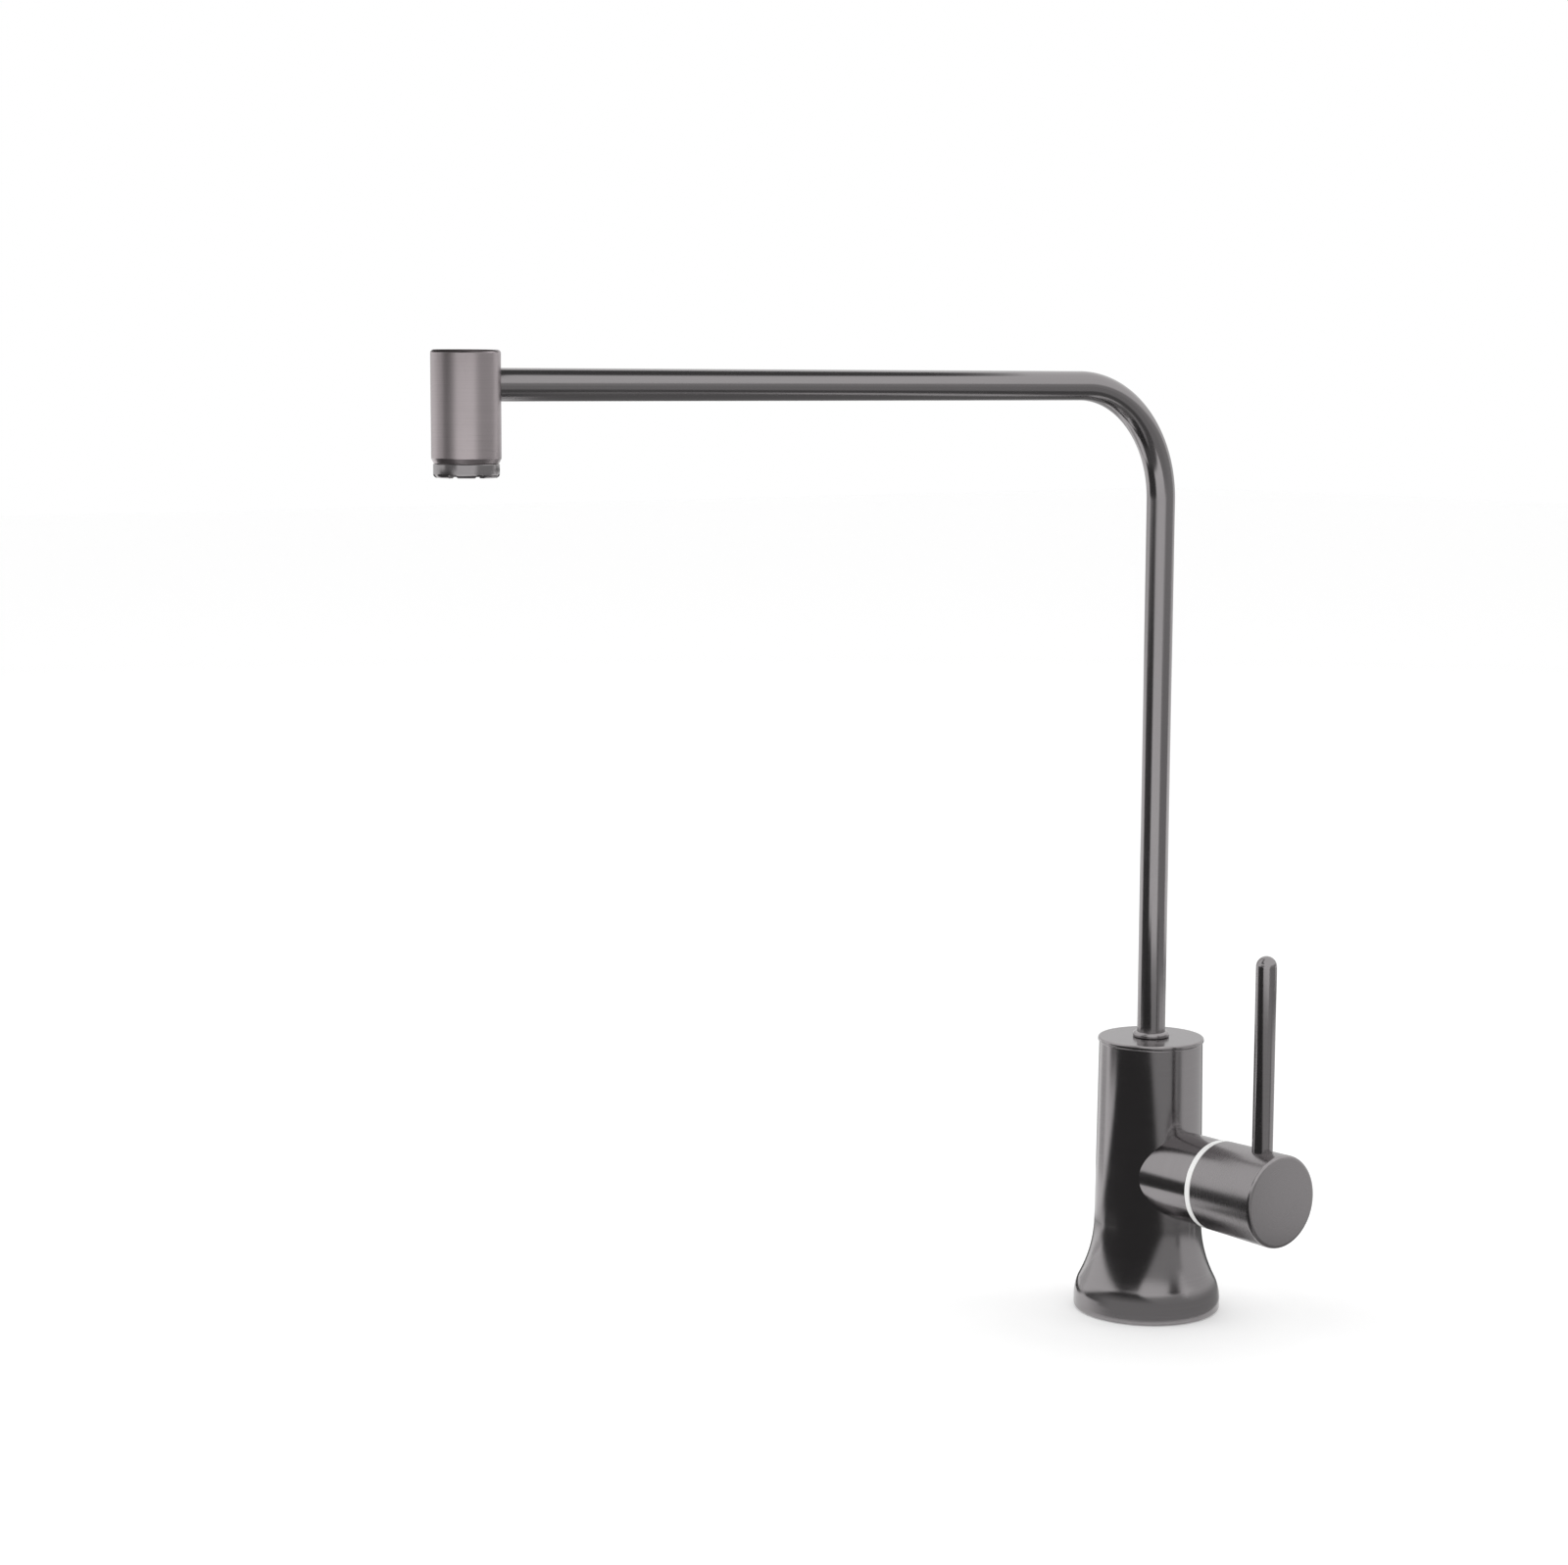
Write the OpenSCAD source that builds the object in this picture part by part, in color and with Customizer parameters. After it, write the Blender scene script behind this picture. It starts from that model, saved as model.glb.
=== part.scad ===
// Drinking water filter tap: a turned column with a bell foot, a swivelling spout and a side lever.
// The origin is the centre of the foot's underside. The arm runs along -Y and the valve along +X.

/* [Body] */
// Diameter of the foot on the worktop
base_d = 50; // [46:0.5:56]
// Height of the foot's upright rim
rim_h = 3.8; // [2.5:0.1:6]
// Rounding of the foot's lower edge
rim_edge_r = 1; // [0.4:0.1:2]
// Radius of the rounded shoulder above the rim
shoulder_r = 15; // [10:0.5:20]
// Radius of the hollow bell curve
flare_r = 44; // [30:1:60]
// Column diameter where the bell meets it
waist_d = 36.6; // [35:0.2:40]
// Column diameter under the cap
neck_d = 35.2; // [34.4:0.2:38]
// Height of the column, up to the cap
body_h = 93.2; // [91:0.2:110]
// Core diameter of the thread that the mounting shank screws into
inlet_thread_d = 14.4; // [13:0.1:16]
// Depth of that thread
inlet_thread_l = 16; // [12:0.5:20]

/* [Cap and collar] */
// Diameter of the cap
cap_d = 36; // [35:0.2:40]
// Thickness of the cap's visible lip
cap_h = 1.5; // [1.2:0.1:4]
// Rounding of the cap's upper edge
cap_edge_r = 0.7; // [0.2:0.1:1]
// Diameter of the collar at the foot of the tube
collar_d = 12.4; // [11.6:0.1:18]
// Height of the collar
collar_h = 1.9; // [1.8:0.1:8]
// Rounding of the collar's upper edge
collar_edge_r = 1.2; // [0.2:0.1:1.4]

/* [Spout] */
// Outside diameter of the tube
tube_d = 9.5; // [8:0.1:11]
// Wall of the tube
tube_wall = 1; // [0.8:0.1:1.5]
// Height of the arm's centre line above the worktop
arm_h = 315.3; // [220:0.1:400]
// Distance from the riser's axis to the outlet's axis
reach = 274; // [150:1:320]
// Radius of the bend, on the tube's centre line
bend_r = 38; // [25:1:60]
// Wall of the spigot around the tube
spigot_wall = 2.7; // [2.5:0.1:3.5]
// Length of the spigot below its flange
spigot_l = 14; // [12:0.5:16]
// Section diameter of the spigot's seals
spigot_ring_d = 1.8; // [1.5:0.1:2]

/* [Outlet head] */
// Diameter of the head
head_d = 19.8; // [18:0.1:26]
// Height of the head's top above the arm's centre line
head_rise = 9.8; // [9:0.1:16]
// Depth of the head's lower face below the arm's centre line
head_drop = 22; // [18:0.1:40]
// Rounding of the head's upper edge
head_edge_r = 1; // [0.4:0.1:2]
// Width of the bevel round the head's lower edge
head_bevel_w = 0.7; // [0.3:0.1:1]
// Height of that bevel
head_bevel_h = 1.4; // [0.6:0.1:3]
// How far the aerator's ring stands back from the head's side
aerator_inset = 0.5; // [0:0.1:0.8]
// Height of the aerator's ring
aerator_h = 4; // [3.5:0.1:9]
// Rounding of the ring's lower edge
aerator_edge_r = 1.2; // [0.4:0.1:1.6]
// Number of key notches in the ring
notch_count = 7; // [4:1:14]
// Width of a key notch
notch_w = 2.6; // [1:0.1:3]
// Depth of a key notch
notch_h = 1; // [0.3:0.1:1.2]
// Turn of the notches about the outlet's axis
notch_turn = 44.5; // [0:0.5:90]

/* [Valve] */
// Height of the valve's axis above the worktop
valve_h = 49.3; // [48:0.1:51]
// Diameter of the boss on the column's side
boss_d = 29.6; // [28:0.2:30.4]
// Distance from the column's axis to the boss's outer face
boss_reach = 32.1; // [31:0.1:40]
// Diameter of the valve spindle
spindle_d = 8; // [7:0.1:9]
// Thickness of each ceramic disc
disc_t = 3; // [2.4:0.1:3]
// Width of the white ring beside the knob
ring_w = 2.3; // [1.5:0.1:4]
// Diameter of the white ring
ring_d = 30.2; // [29:0.2:32]

/* [Handle] */
// Diameter of the knob beside the white ring
knob_inner_d = 30.2; // [29:0.2:33]
// Diameter of the knob at its outer end
knob_outer_d = 31.2; // [29:0.2:34]
// Length of the knob
knob_l = 27.6; // [25:0.1:36]
// Rounding of the knob's outer edge
knob_edge_r = 1.1; // [0.4:0.1:3]
// Diameter of the lever
lever_d = 6.9; // [5:0.1:8]
// Distance from the knob's outer face to the lever's axis
lever_inset = 9.2; // [7:0.1:10]
// Height of the lever's tip above the valve's axis
lever_rise = 80.8; // [40:0.1:110]
// Thread diameter of the screw that holds the knob
grub_d = 5; // [4:0.5:6]

/* [Hidden] */
$fn = 96;

// Colours
gunmetal = [0.42, 0.40, 0.41];
satin_gunmetal = [0.60, 0.57, 0.58];
white_plastic = [0.95, 0.95, 0.94];
pale_plastic = [0.86, 0.86, 0.82];
black_rubber = [0.10, 0.10, 0.10];
plain_brass = [0.78, 0.63, 0.34];
plain_steel = [0.72, 0.72, 0.74];
white_ceramic = [0.93, 0.91, 0.87];

// Clearances: brazed and pressed joints, plain-drawn threads, running fits, faces that slide, loose fits
seat_gap = 0.02;
thread_gap = 0.05;
run_gap = 0.05;
face_gap = 0.05;
loose_gap = 0.2;
// How far a cut runs past the face it opens
over = 0.5;
// Bevel or rounding that breaks a sharp turned edge
edge_break = 0.3;
// Width of a seal groove for a seal of unit section
groove_share = 1.2;

// Radii of the driving diameters
base_r = base_d / 2;
waist_r = waist_d / 2;
neck_r = neck_d / 2;
cap_r = cap_d / 2;
collar_r = collar_d / 2;
tube_r = tube_d / 2;
tube_bore_r = tube_r - tube_wall;
head_r = head_d / 2;
boss_r = boss_d / 2;
spindle_r = spindle_d / 2;
ring_r = ring_d / 2;
knob_inner_r = knob_inner_d / 2;
knob_outer_r = knob_outer_d / 2;
lever_r = lever_d / 2;
grub_r = grub_d / 2;
inlet_thread_r = inlet_thread_d / 2;

// Bell: the shoulder arc and the hollow arc meet at one slope
bell_turn = acos(1 - (base_r - waist_r) / (shoulder_r + flare_r));
waist_z = rim_h + (shoulder_r + flare_r) * sin(bell_turn);
// Steps along each arc of the column's outline
arc_steps = 16;

// Underside: an outer land, the seal's groove, an inner land, then a hollow round the threaded inlet
foot_land_w = 1.4;
deck_seal_w = 2.6;
deck_seal_t = 2;
deck_seal_r = base_r - rim_edge_r - foot_land_w;
foot_hollow_r = deck_seal_r - deck_seal_w - foot_land_w;
foot_hollow_h = 13;
inlet_wall = 3;
inlet_boss_r = inlet_thread_r + inlet_wall;

// Spout swivel, upwards from the socket's floor
cap_top_z = body_h + cap_h;
cap_lip_h = 0.7;
spigot_r = tube_r + spigot_wall;
socket_r = spigot_r + run_gap;
spigot_flange_w = 1.6;
spigot_flange_r = spigot_r + spigot_flange_w;
spigot_flange_h = 2.2;
swivel_recess_r = spigot_flange_r + loose_gap;
swivel_recess_l = 9.5;
swivel_floor_z = body_h - swivel_recess_l;
washer_t = 0.8;
spigot_floor_h = 2;
spigot_z = swivel_floor_z - spigot_l;
socket_floor_z = spigot_z - 2 * loose_gap;
flange_z = swivel_floor_z + washer_t + face_gap;
bush_z = flange_z + spigot_flange_h + face_gap;
bush_flange_h = 1;
bush_wall = 1.4;
bush_r = tube_r + bush_wall;
bush_top_z = cap_top_z - cap_lip_h - seat_gap;
skirt_z = bush_z + bush_flange_h + seat_gap;
tube_foot_z = spigot_z + spigot_floor_h + seat_gap;
collar_z = cap_top_z + 2 * face_gap;
// Places of the two seals, as shares of the spigot's length
spigot_ring_spots = [0.3, 0.7];
spigot_ring_r = socket_r - seat_gap - spigot_ring_d / 2;

// Outlet head, from its lower face
head_z = arm_h - head_drop;
head_h = head_drop + head_rise;
head_wall = 1.7;
head_top_wall = 2.5;
head_thread_r = head_r - head_wall;
head_step_w = 2.7;
chamber_r = head_thread_r - head_step_w;
tube_ledge = 0.8;
tube_end = chamber_r + tube_ledge;

// Aerator, from its lower face
aerator_thread_l = 5.5;
aerator_thread_top_z = head_z + aerator_thread_l;
aerator_seal_t = 1.6;
head_step_z = aerator_thread_top_z + aerator_seal_t + 2 * seat_gap;
aerator_z = head_z - 2 * face_gap - aerator_h;
aerator_r = head_r - aerator_inset;
aerator_wall = 1.2;
aerator_bore_r = head_thread_r - aerator_wall;
aerator_lip_w = 0.6;
aerator_lip_h = 1.4;
core_z = aerator_z + aerator_lip_h + seat_gap;
core_r = aerator_bore_r - seat_gap;
core_wall = 0.9;
core_grid_h = 1.6;
core_rib_w = 0.5;
core_rib_count = 8;
screen_t = 0.5;
screen_z = aerator_thread_top_z - screen_t;
screen_hole_r = 0.5;
screen_pitch = 1.7;

// Boss: it sits deep enough in the column to meet it all round
column_r = min(neck_r, waist_r);
boss_sink = 0.6;
boss_seat_x = sqrt(column_r * column_r - boss_r * boss_r) - boss_sink;
boss_wall = 1.8;
boss_socket_r = boss_r - boss_wall;
boss_socket_l = 8;

// Valve housing: nose, threaded barrel and hexagon
hex_r = boss_socket_r - edge_break;
hex_x = boss_reach - boss_socket_l;
hex_l = 4.5;
barrel_r = hex_r * cos(30) - over;
barrel_bore_r = barrel_r + thread_gap;
barrel_x = boss_seat_x + edge_break;
nose_step = 1.5;
nose_wall = 1.7;
nose_r = barrel_r - nose_step;
nose_bore_r = nose_r - nose_wall;
gallery_w = 2;
gallery_r = nose_r + gallery_w;
gallery_l = 8;
seat_x = boss_seat_x - gallery_l;

// Valve works, outwards from the seat
seat_seal_t = 1.9;
nose_x = seat_x + seat_seal_t / 2;
disc_r = nose_bore_r - run_gap;
fixed_disc_x = seat_x + seat_seal_t + 2 * seat_gap;
turning_disc_x = fixed_disc_x + disc_t + face_gap;
drive_flange_x = turning_disc_x + disc_t + seat_gap;
drive_flange_l = 2;
drive_flange_r = disc_r - loose_gap;
nose_bore_end_x = drive_flange_x + drive_flange_l + face_gap;
stem_bore_r = spindle_r + run_gap;
spindle_ring_d = 1.5;
spindle_ring_r = stem_bore_r - seat_gap - spindle_ring_d / 2;
spindle_ring_x = (nose_bore_end_x + hex_x) / 2;
barrel_ring_d = 1.6;
barrel_ring_r = barrel_bore_r - seat_gap - barrel_ring_d / 2;
barrel_ring_x = hex_x - 2 * barrel_ring_d;
clip_x = hex_x + hex_l + 2 * face_gap;
clip_t = 1;
clip_w = 1.6;
clip_groove = 0.6;
clip_r = spindle_r + clip_w;
// Ports in the discs, as shares of the disc's radius
port_spot_r = disc_r * 0.55;
port_r = disc_r * 0.28;

// Water ways in the body
way_r = 2.5;
inlet_way_x = way_r + over - inlet_thread_r;
inlet_chamber_r = 5;
inlet_chamber_x = inlet_way_x - way_r - over;
outlet_way_x = seat_x + gallery_l / 2;

// White ring
ring_lip_l = 2;
ring_lip_w = 1.3;
ring_lip_r = boss_socket_r - seat_gap;
ring_bore_r = ring_lip_r - ring_lip_w;

// Handle, outwards along the valve's axis
knob_x = boss_reach + ring_w + 2 * face_gap;
knob_end_x = knob_x + knob_l;
knob_wall = 3.6;
knob_hollow_l = 5.5;
knob_hollow_r = min(knob_inner_r, ring_r) - knob_wall;
lever_x = knob_end_x - lever_inset;
lever_tip_z = valve_h + lever_rise;
lever_seat_l = 5;
lever_seat_z = valve_h + knob_radius(lever_x) - lever_seat_l;
stud_step = 0.75;
stud_r = lever_r - stud_step;
stud_l = 6;
spindle_stop = 1.4;
spindle_end_x = lever_x - stud_r - spindle_stop;
spindle_flat = 0.8;
flat_l = spindle_end_x - knob_x - knob_hollow_l;
grub_l = 6;
grub_x = spindle_end_x - flat_l / 2;
grub_tip_z = valve_h - spindle_r + spindle_flat - seat_gap;
hex_key_r = grub_d * 0.29;

// Radius of the knob's side at a place along the valve's axis
function knob_radius(x) = knob_inner_r + (knob_outer_r - knob_inner_r) * (x - knob_x) / knob_l;

// Points along an arc, from one angle to another
function arc(centre, r, from, to) =
    [for (i = [0 : arc_steps]) let (a = from + (to - from) * i / arc_steps) centre + r * [cos(a), sin(a)]];

// Stands a piece that is drawn upright along the valve's axis
module along_valve(x) {
    translate([x, 0, valve_h]) rotate([0, 90, 0]) children();
}

// Puts a piece on the outlet's axis
module at_outlet(z) {
    translate([0, -reach, z]) children();
}

// Flat ring with square edges
module washer(outer_r, inner_r, h) {
    difference() {
        cylinder(r = outer_r, h = h);
        translate([0, 0, -over]) cylinder(r = inner_r, h = h + 2 * over);
    }
}

// Ring of round section
module o_ring(centre_r, section_d) {
    rotate_extrude() translate([centre_r, 0]) circle(d = section_d);
}

// Square groove that holds such a ring
module o_ring_groove(centre_r, section_d) {
    groove_w = section_d * groove_share;
    translate([0, 0, -groove_w / 2])
        washer(centre_r + section_d / 2 + over, centre_r - section_d / 2 - seat_gap, groove_w);
}

// Quarter of a disc that rounds an outer corner, below its centre or above it
module round_corner(centre, r, above) {
    translate(centre) intersection() {
        circle(r);
        translate([0, above ? 0 : -r]) square(r);
    }
}

// Half outline of a turned disc, with its lower and upper edges rounded
module turned_outline(r, h, low_r, top_r) {
    translate([0, low_r]) square([r, h - low_r - top_r]);
    square([r - low_r, h - top_r]);
    translate([0, low_r]) square([r - top_r, h - low_r]);
    round_corner([r - low_r, low_r], low_r, false);
    round_corner([r - top_r, h - top_r], top_r, true);
}

// Half outline of the column and its bell foot
module body_outline() {
    polygon(concat(
        [[0, 0]],
        arc([base_r - rim_edge_r, rim_edge_r], rim_edge_r, -90, 0),
        arc([base_r - shoulder_r, rim_h], shoulder_r, 0, bell_turn),
        // The hollow arc starts one step on, because the shoulder ends where they meet
        arc([waist_r + flare_r, waist_z], flare_r, 180 + bell_turn * (1 - 1 / arc_steps), 180),
        [[neck_r, body_h], [0, body_h]]
    ));
}

module body() {
    color(gunmetal) difference() {
        rotate_extrude() body_outline();
        // Underside
        translate([0, 0, -over])
            washer(deck_seal_r, deck_seal_r - deck_seal_w, deck_seal_t + seat_gap + over);
        translate([0, 0, -over]) washer(foot_hollow_r, inlet_boss_r, foot_hollow_h + over);
        translate([0, 0, -over]) cylinder(r = inlet_thread_r, h = inlet_thread_l + over);
        // Way in, up to the valve seat
        translate([inlet_way_x, 0, inlet_thread_l - over])
            cylinder(r = way_r, h = valve_h - inlet_thread_l + over);
        along_valve(inlet_chamber_x) cylinder(r = inlet_chamber_r, h = seat_x - inlet_chamber_x + over);
        // Valve gallery and the boss's seat
        along_valve(seat_x) cylinder(r = gallery_r, h = gallery_l + over);
        along_valve(boss_seat_x) cylinder(r = boss_r + seat_gap, h = boss_reach);
        // Way out, up to the spout
        translate([outlet_way_x, 0, valve_h]) cylinder(r = way_r, h = socket_floor_z - valve_h + over);
        translate([0, 0, socket_floor_z]) cylinder(r = socket_r, h = body_h);
        translate([0, 0, swivel_floor_z]) cylinder(r = swivel_recess_r, h = body_h);
    }
}

module deck_seal() {
    color(black_rubber) washer(deck_seal_r - seat_gap, deck_seal_r - deck_seal_w + seat_gap, deck_seal_t);
}

module top_cap() {
    color(gunmetal) difference() {
        union() {
            translate([0, 0, body_h + seat_gap]) rotate_extrude()
                turned_outline(cap_r, cap_h - seat_gap, edge_break, cap_edge_r);
            translate([0, 0, skirt_z])
                cylinder(r = swivel_recess_r - thread_gap, h = body_h + cap_edge_r - skirt_z);
        }
        translate([0, 0, skirt_z - over])
            cylinder(r = bush_r + seat_gap, h = cap_top_z - cap_lip_h - skirt_z + over);
        translate([0, 0, body_h]) cylinder(r = tube_r + loose_gap, h = cap_h + over);
    }
}

module spout_bush() {
    color(pale_plastic) difference() {
        union() {
            translate([0, 0, bush_z]) cylinder(r = spigot_flange_r, h = bush_flange_h);
            translate([0, 0, bush_z]) cylinder(r = bush_r, h = bush_top_z - bush_z);
        }
        translate([0, 0, bush_z - over]) cylinder(r = tube_r + run_gap, h = swivel_recess_l);
    }
}

module thrust_washer() {
    color(pale_plastic) translate([0, 0, swivel_floor_z + seat_gap])
        washer(spigot_flange_r, socket_r, washer_t - seat_gap);
}

module valve_boss() {
    boss_x = boss_seat_x + seat_gap;
    boss_l = boss_reach - boss_x;
    color(gunmetal) difference() {
        along_valve(boss_x) rotate_extrude() polygon([
            [0, 0], [boss_r, 0], [boss_r, boss_l - edge_break], [boss_r - edge_break, boss_l], [0, boss_l]
        ]);
        along_valve(0) cylinder(r = barrel_bore_r, h = boss_reach + over);
        along_valve(hex_x - seat_gap) cylinder(r = boss_socket_r, h = boss_reach);
    }
}

module trim_ring() {
    color(white_plastic) difference() {
        union() {
            along_valve(boss_reach + seat_gap) rotate_extrude()
                turned_outline(ring_r, ring_w - seat_gap, edge_break, edge_break);
            along_valve(boss_reach - ring_lip_l) cylinder(r = ring_lip_r, h = ring_lip_l + edge_break);
        }
        along_valve(boss_reach - ring_lip_l - over)
            cylinder(r = ring_bore_r, h = ring_lip_l + ring_w + 2 * over);
    }
}

module cartridge_body() {
    color(plain_brass) difference() {
        union() {
            along_valve(nose_x) cylinder(r = nose_r, h = barrel_x - nose_x + edge_break);
            along_valve(barrel_x) cylinder(r = barrel_r, h = hex_x - barrel_x + edge_break);
            along_valve(hex_x) cylinder(r = hex_r, h = hex_l, $fn = 6);
        }
        along_valve(nose_x - over) cylinder(r = nose_bore_r, h = nose_bore_end_x - nose_x + over);
        along_valve(nose_x) cylinder(r = stem_bore_r, h = boss_reach);
        // Outlet windows on both sides, beside the turning disc
        translate([turning_disc_x + edge_break, -gallery_r, valve_h - disc_r / 2])
            cube([disc_t - 2 * edge_break, 2 * gallery_r, disc_r]);
        along_valve(barrel_ring_x) o_ring_groove(barrel_ring_r, barrel_ring_d);
    }
}

module cartridge_o_ring() {
    color(black_rubber) along_valve(barrel_ring_x) o_ring(barrel_ring_r, barrel_ring_d);
}

module seat_seal() {
    color(black_rubber) along_valve(seat_x + seat_gap) washer(disc_r, disc_r / 2, seat_seal_t);
}

module fixed_disc() {
    color(white_ceramic) difference() {
        along_valve(fixed_disc_x) cylinder(r = disc_r, h = disc_t);
        for (side = [-1, 1])
            translate([0, side * port_spot_r, 0]) along_valve(fixed_disc_x - over)
                cylinder(r = port_r, h = disc_t + 2 * over);
    }
}

// Shut at rest: its open sides are a quarter turn from the fixed disc's ports
module turning_disc() {
    color(white_ceramic) difference() {
        along_valve(turning_disc_x) cylinder(r = disc_r, h = disc_t);
        for (side = [-1, 1])
            translate([0, 0, side * (disc_r + port_spot_r - port_r)]) along_valve(turning_disc_x - over)
                cylinder(r = disc_r / 2, h = disc_t + 2 * over);
    }
}

module spindle() {
    color(plain_brass) difference() {
        union() {
            along_valve(drive_flange_x) cylinder(r = drive_flange_r, h = drive_flange_l);
            along_valve(drive_flange_x) cylinder(r = spindle_r, h = spindle_end_x - drive_flange_x);
        }
        along_valve(spindle_ring_x) o_ring_groove(spindle_ring_r, spindle_ring_d);
        along_valve(clip_x - seat_gap)
            washer(spindle_r + over, spindle_r - clip_groove, clip_t + 2 * seat_gap);
        translate([spindle_end_x - flat_l, -spindle_r, valve_h - spindle_r - over])
            cube([flat_l + over, spindle_d, spindle_flat + over]);
    }
}

module spindle_o_ring() {
    color(black_rubber) along_valve(spindle_ring_x) o_ring(spindle_ring_r, spindle_ring_d);
}

// Open clip with a gap at the bottom to slip over the spindle
module spindle_clip() {
    color(plain_steel) difference() {
        along_valve(clip_x) washer(clip_r, spindle_r - clip_groove + seat_gap, clip_t);
        translate([clip_x - over, -spindle_r / 2, valve_h - clip_r - over])
            cube([clip_t + 2 * over, spindle_r, clip_r]);
    }
}

module knob_outline() {
    polygon([
        [0, 0], [knob_inner_r - edge_break, 0], [knob_inner_r, edge_break],
        [knob_outer_r, knob_l - knob_edge_r], [knob_outer_r - knob_edge_r, knob_l], [0, knob_l]
    ]);
    translate([knob_outer_r - knob_edge_r, knob_l - knob_edge_r]) circle(knob_edge_r);
}

module knob() {
    color(gunmetal) difference() {
        along_valve(knob_x) rotate_extrude() knob_outline();
        along_valve(knob_x - over) cylinder(r = knob_hollow_r, h = knob_hollow_l + over);
        along_valve(knob_x) cylinder(r = spindle_r + seat_gap, h = spindle_end_x + edge_break - knob_x);
        translate([lever_x, 0, lever_seat_z - stud_l - edge_break])
            cylinder(r = stud_r + seat_gap, h = knob_outer_d);
        translate([lever_x, 0, lever_seat_z]) cylinder(r = lever_r + seat_gap, h = knob_outer_d);
        translate([grub_x, 0, valve_h - knob_outer_d]) cylinder(r = grub_r, h = knob_outer_d);
    }
}

module lever_pin() {
    lever_z = lever_seat_z + seat_gap;
    color(gunmetal) {
        translate([lever_x, 0, lever_seat_z - stud_l]) cylinder(r = stud_r, h = stud_l + edge_break);
        translate([lever_x, 0, lever_z]) cylinder(r = lever_r, h = lever_tip_z - lever_r - lever_z);
        translate([lever_x, 0, lever_tip_z - lever_r]) sphere(r = lever_r);
    }
}

module grub_screw() {
    color(plain_steel) difference() {
        translate([grub_x, 0, grub_tip_z - grub_l]) cylinder(r = grub_r - thread_gap, h = grub_l);
        translate([grub_x, 0, grub_tip_z - grub_l - over])
            cylinder(r = hex_key_r, h = grub_l / 2 + over, $fn = 6);
    }
}

// Riser, bend and arm of one round section
module spout_path(r, foot_z, end_y) {
    translate([0, 0, foot_z]) cylinder(r = r, h = arm_h - bend_r - foot_z);
    translate([0, -bend_r, arm_h - bend_r]) rotate([90, 0, 90]) rotate_extrude(angle = 90)
        translate([bend_r, 0]) circle(r);
    translate([0, -bend_r, arm_h]) rotate([90, 0, 0]) cylinder(r = r, h = end_y - bend_r);
}

module spout_tube() {
    tube_end_y = reach - tube_end - seat_gap;
    color(gunmetal) difference() {
        spout_path(tube_r, tube_foot_z, tube_end_y);
        spout_path(tube_bore_r, tube_foot_z - over, tube_end_y + over);
    }
}

module spout_spigot() {
    color(plain_brass) difference() {
        union() {
            translate([0, 0, spigot_z]) cylinder(r = spigot_r, h = flange_z - spigot_z + edge_break);
            translate([0, 0, flange_z]) cylinder(r = spigot_flange_r, h = spigot_flange_h);
        }
        translate([0, 0, spigot_z - over]) cylinder(r = tube_bore_r, h = body_h);
        translate([0, 0, spigot_z + spigot_floor_h]) cylinder(r = tube_r + seat_gap, h = body_h);
        for (spot = spigot_ring_spots)
            translate([0, 0, spigot_z + spot * spigot_l]) o_ring_groove(spigot_ring_r, spigot_ring_d);
    }
}

module spigot_o_rings() {
    color(black_rubber) for (spot = spigot_ring_spots)
        translate([0, 0, spigot_z + spot * spigot_l]) o_ring(spigot_ring_r, spigot_ring_d);
}

module spout_collar() {
    color(gunmetal) difference() {
        translate([0, 0, collar_z]) rotate_extrude()
            turned_outline(collar_r, collar_h, edge_break, collar_edge_r);
        translate([0, 0, collar_z - over]) cylinder(r = tube_r + seat_gap, h = collar_h + 2 * over);
    }
}

// Half outline of the head, with its lower edge bevelled
module head_outline() {
    difference() {
        turned_outline(head_r, head_h, edge_break, head_edge_r);
        polygon([
            [head_r - 2 * head_bevel_w, -head_bevel_h],
            [head_r + head_bevel_w, -head_bevel_h],
            [head_r + head_bevel_w, 2 * head_bevel_h]
        ]);
    }
}

module outlet_head() {
    color(satin_gunmetal) difference() {
        at_outlet(head_z) rotate_extrude() head_outline();
        at_outlet(head_z - over) cylinder(r = head_thread_r, h = head_step_z - head_z + over);
        at_outlet(head_z) cylinder(r = chamber_r, h = head_h - head_top_wall);
        at_outlet(arm_h) rotate([-90, 0, 0]) cylinder(r = tube_bore_r, h = head_r);
        translate([0, tube_end - reach, arm_h]) rotate([-90, 0, 0])
            cylinder(r = tube_r + seat_gap, h = head_r);
    }
}

module aerator_collar() {
    ring_top_z = aerator_z + aerator_h;
    color(gunmetal) difference() {
        union() {
            at_outlet(aerator_z) rotate_extrude()
                turned_outline(aerator_r, aerator_h, aerator_edge_r, edge_break);
            at_outlet(ring_top_z - edge_break)
                cylinder(r = head_thread_r - thread_gap, h = aerator_thread_top_z - ring_top_z + edge_break);
        }
        at_outlet(aerator_z - over)
            cylinder(r = aerator_bore_r - aerator_lip_w, h = aerator_lip_h + 2 * over);
        at_outlet(aerator_z + aerator_lip_h) cylinder(r = aerator_bore_r, h = head_drop);
        for (i = [0 : notch_count - 1])
            at_outlet(aerator_z - over) rotate(notch_turn + i * 360 / notch_count)
                translate([aerator_bore_r - 2 * aerator_lip_w, -notch_w / 2, 0])
                    cube([head_r, notch_w, notch_h + over]);
    }
}

module aerator_seal() {
    color(black_rubber) at_outlet(aerator_thread_top_z + seat_gap)
        washer(head_thread_r - seat_gap, chamber_r, aerator_seal_t);
}

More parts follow.
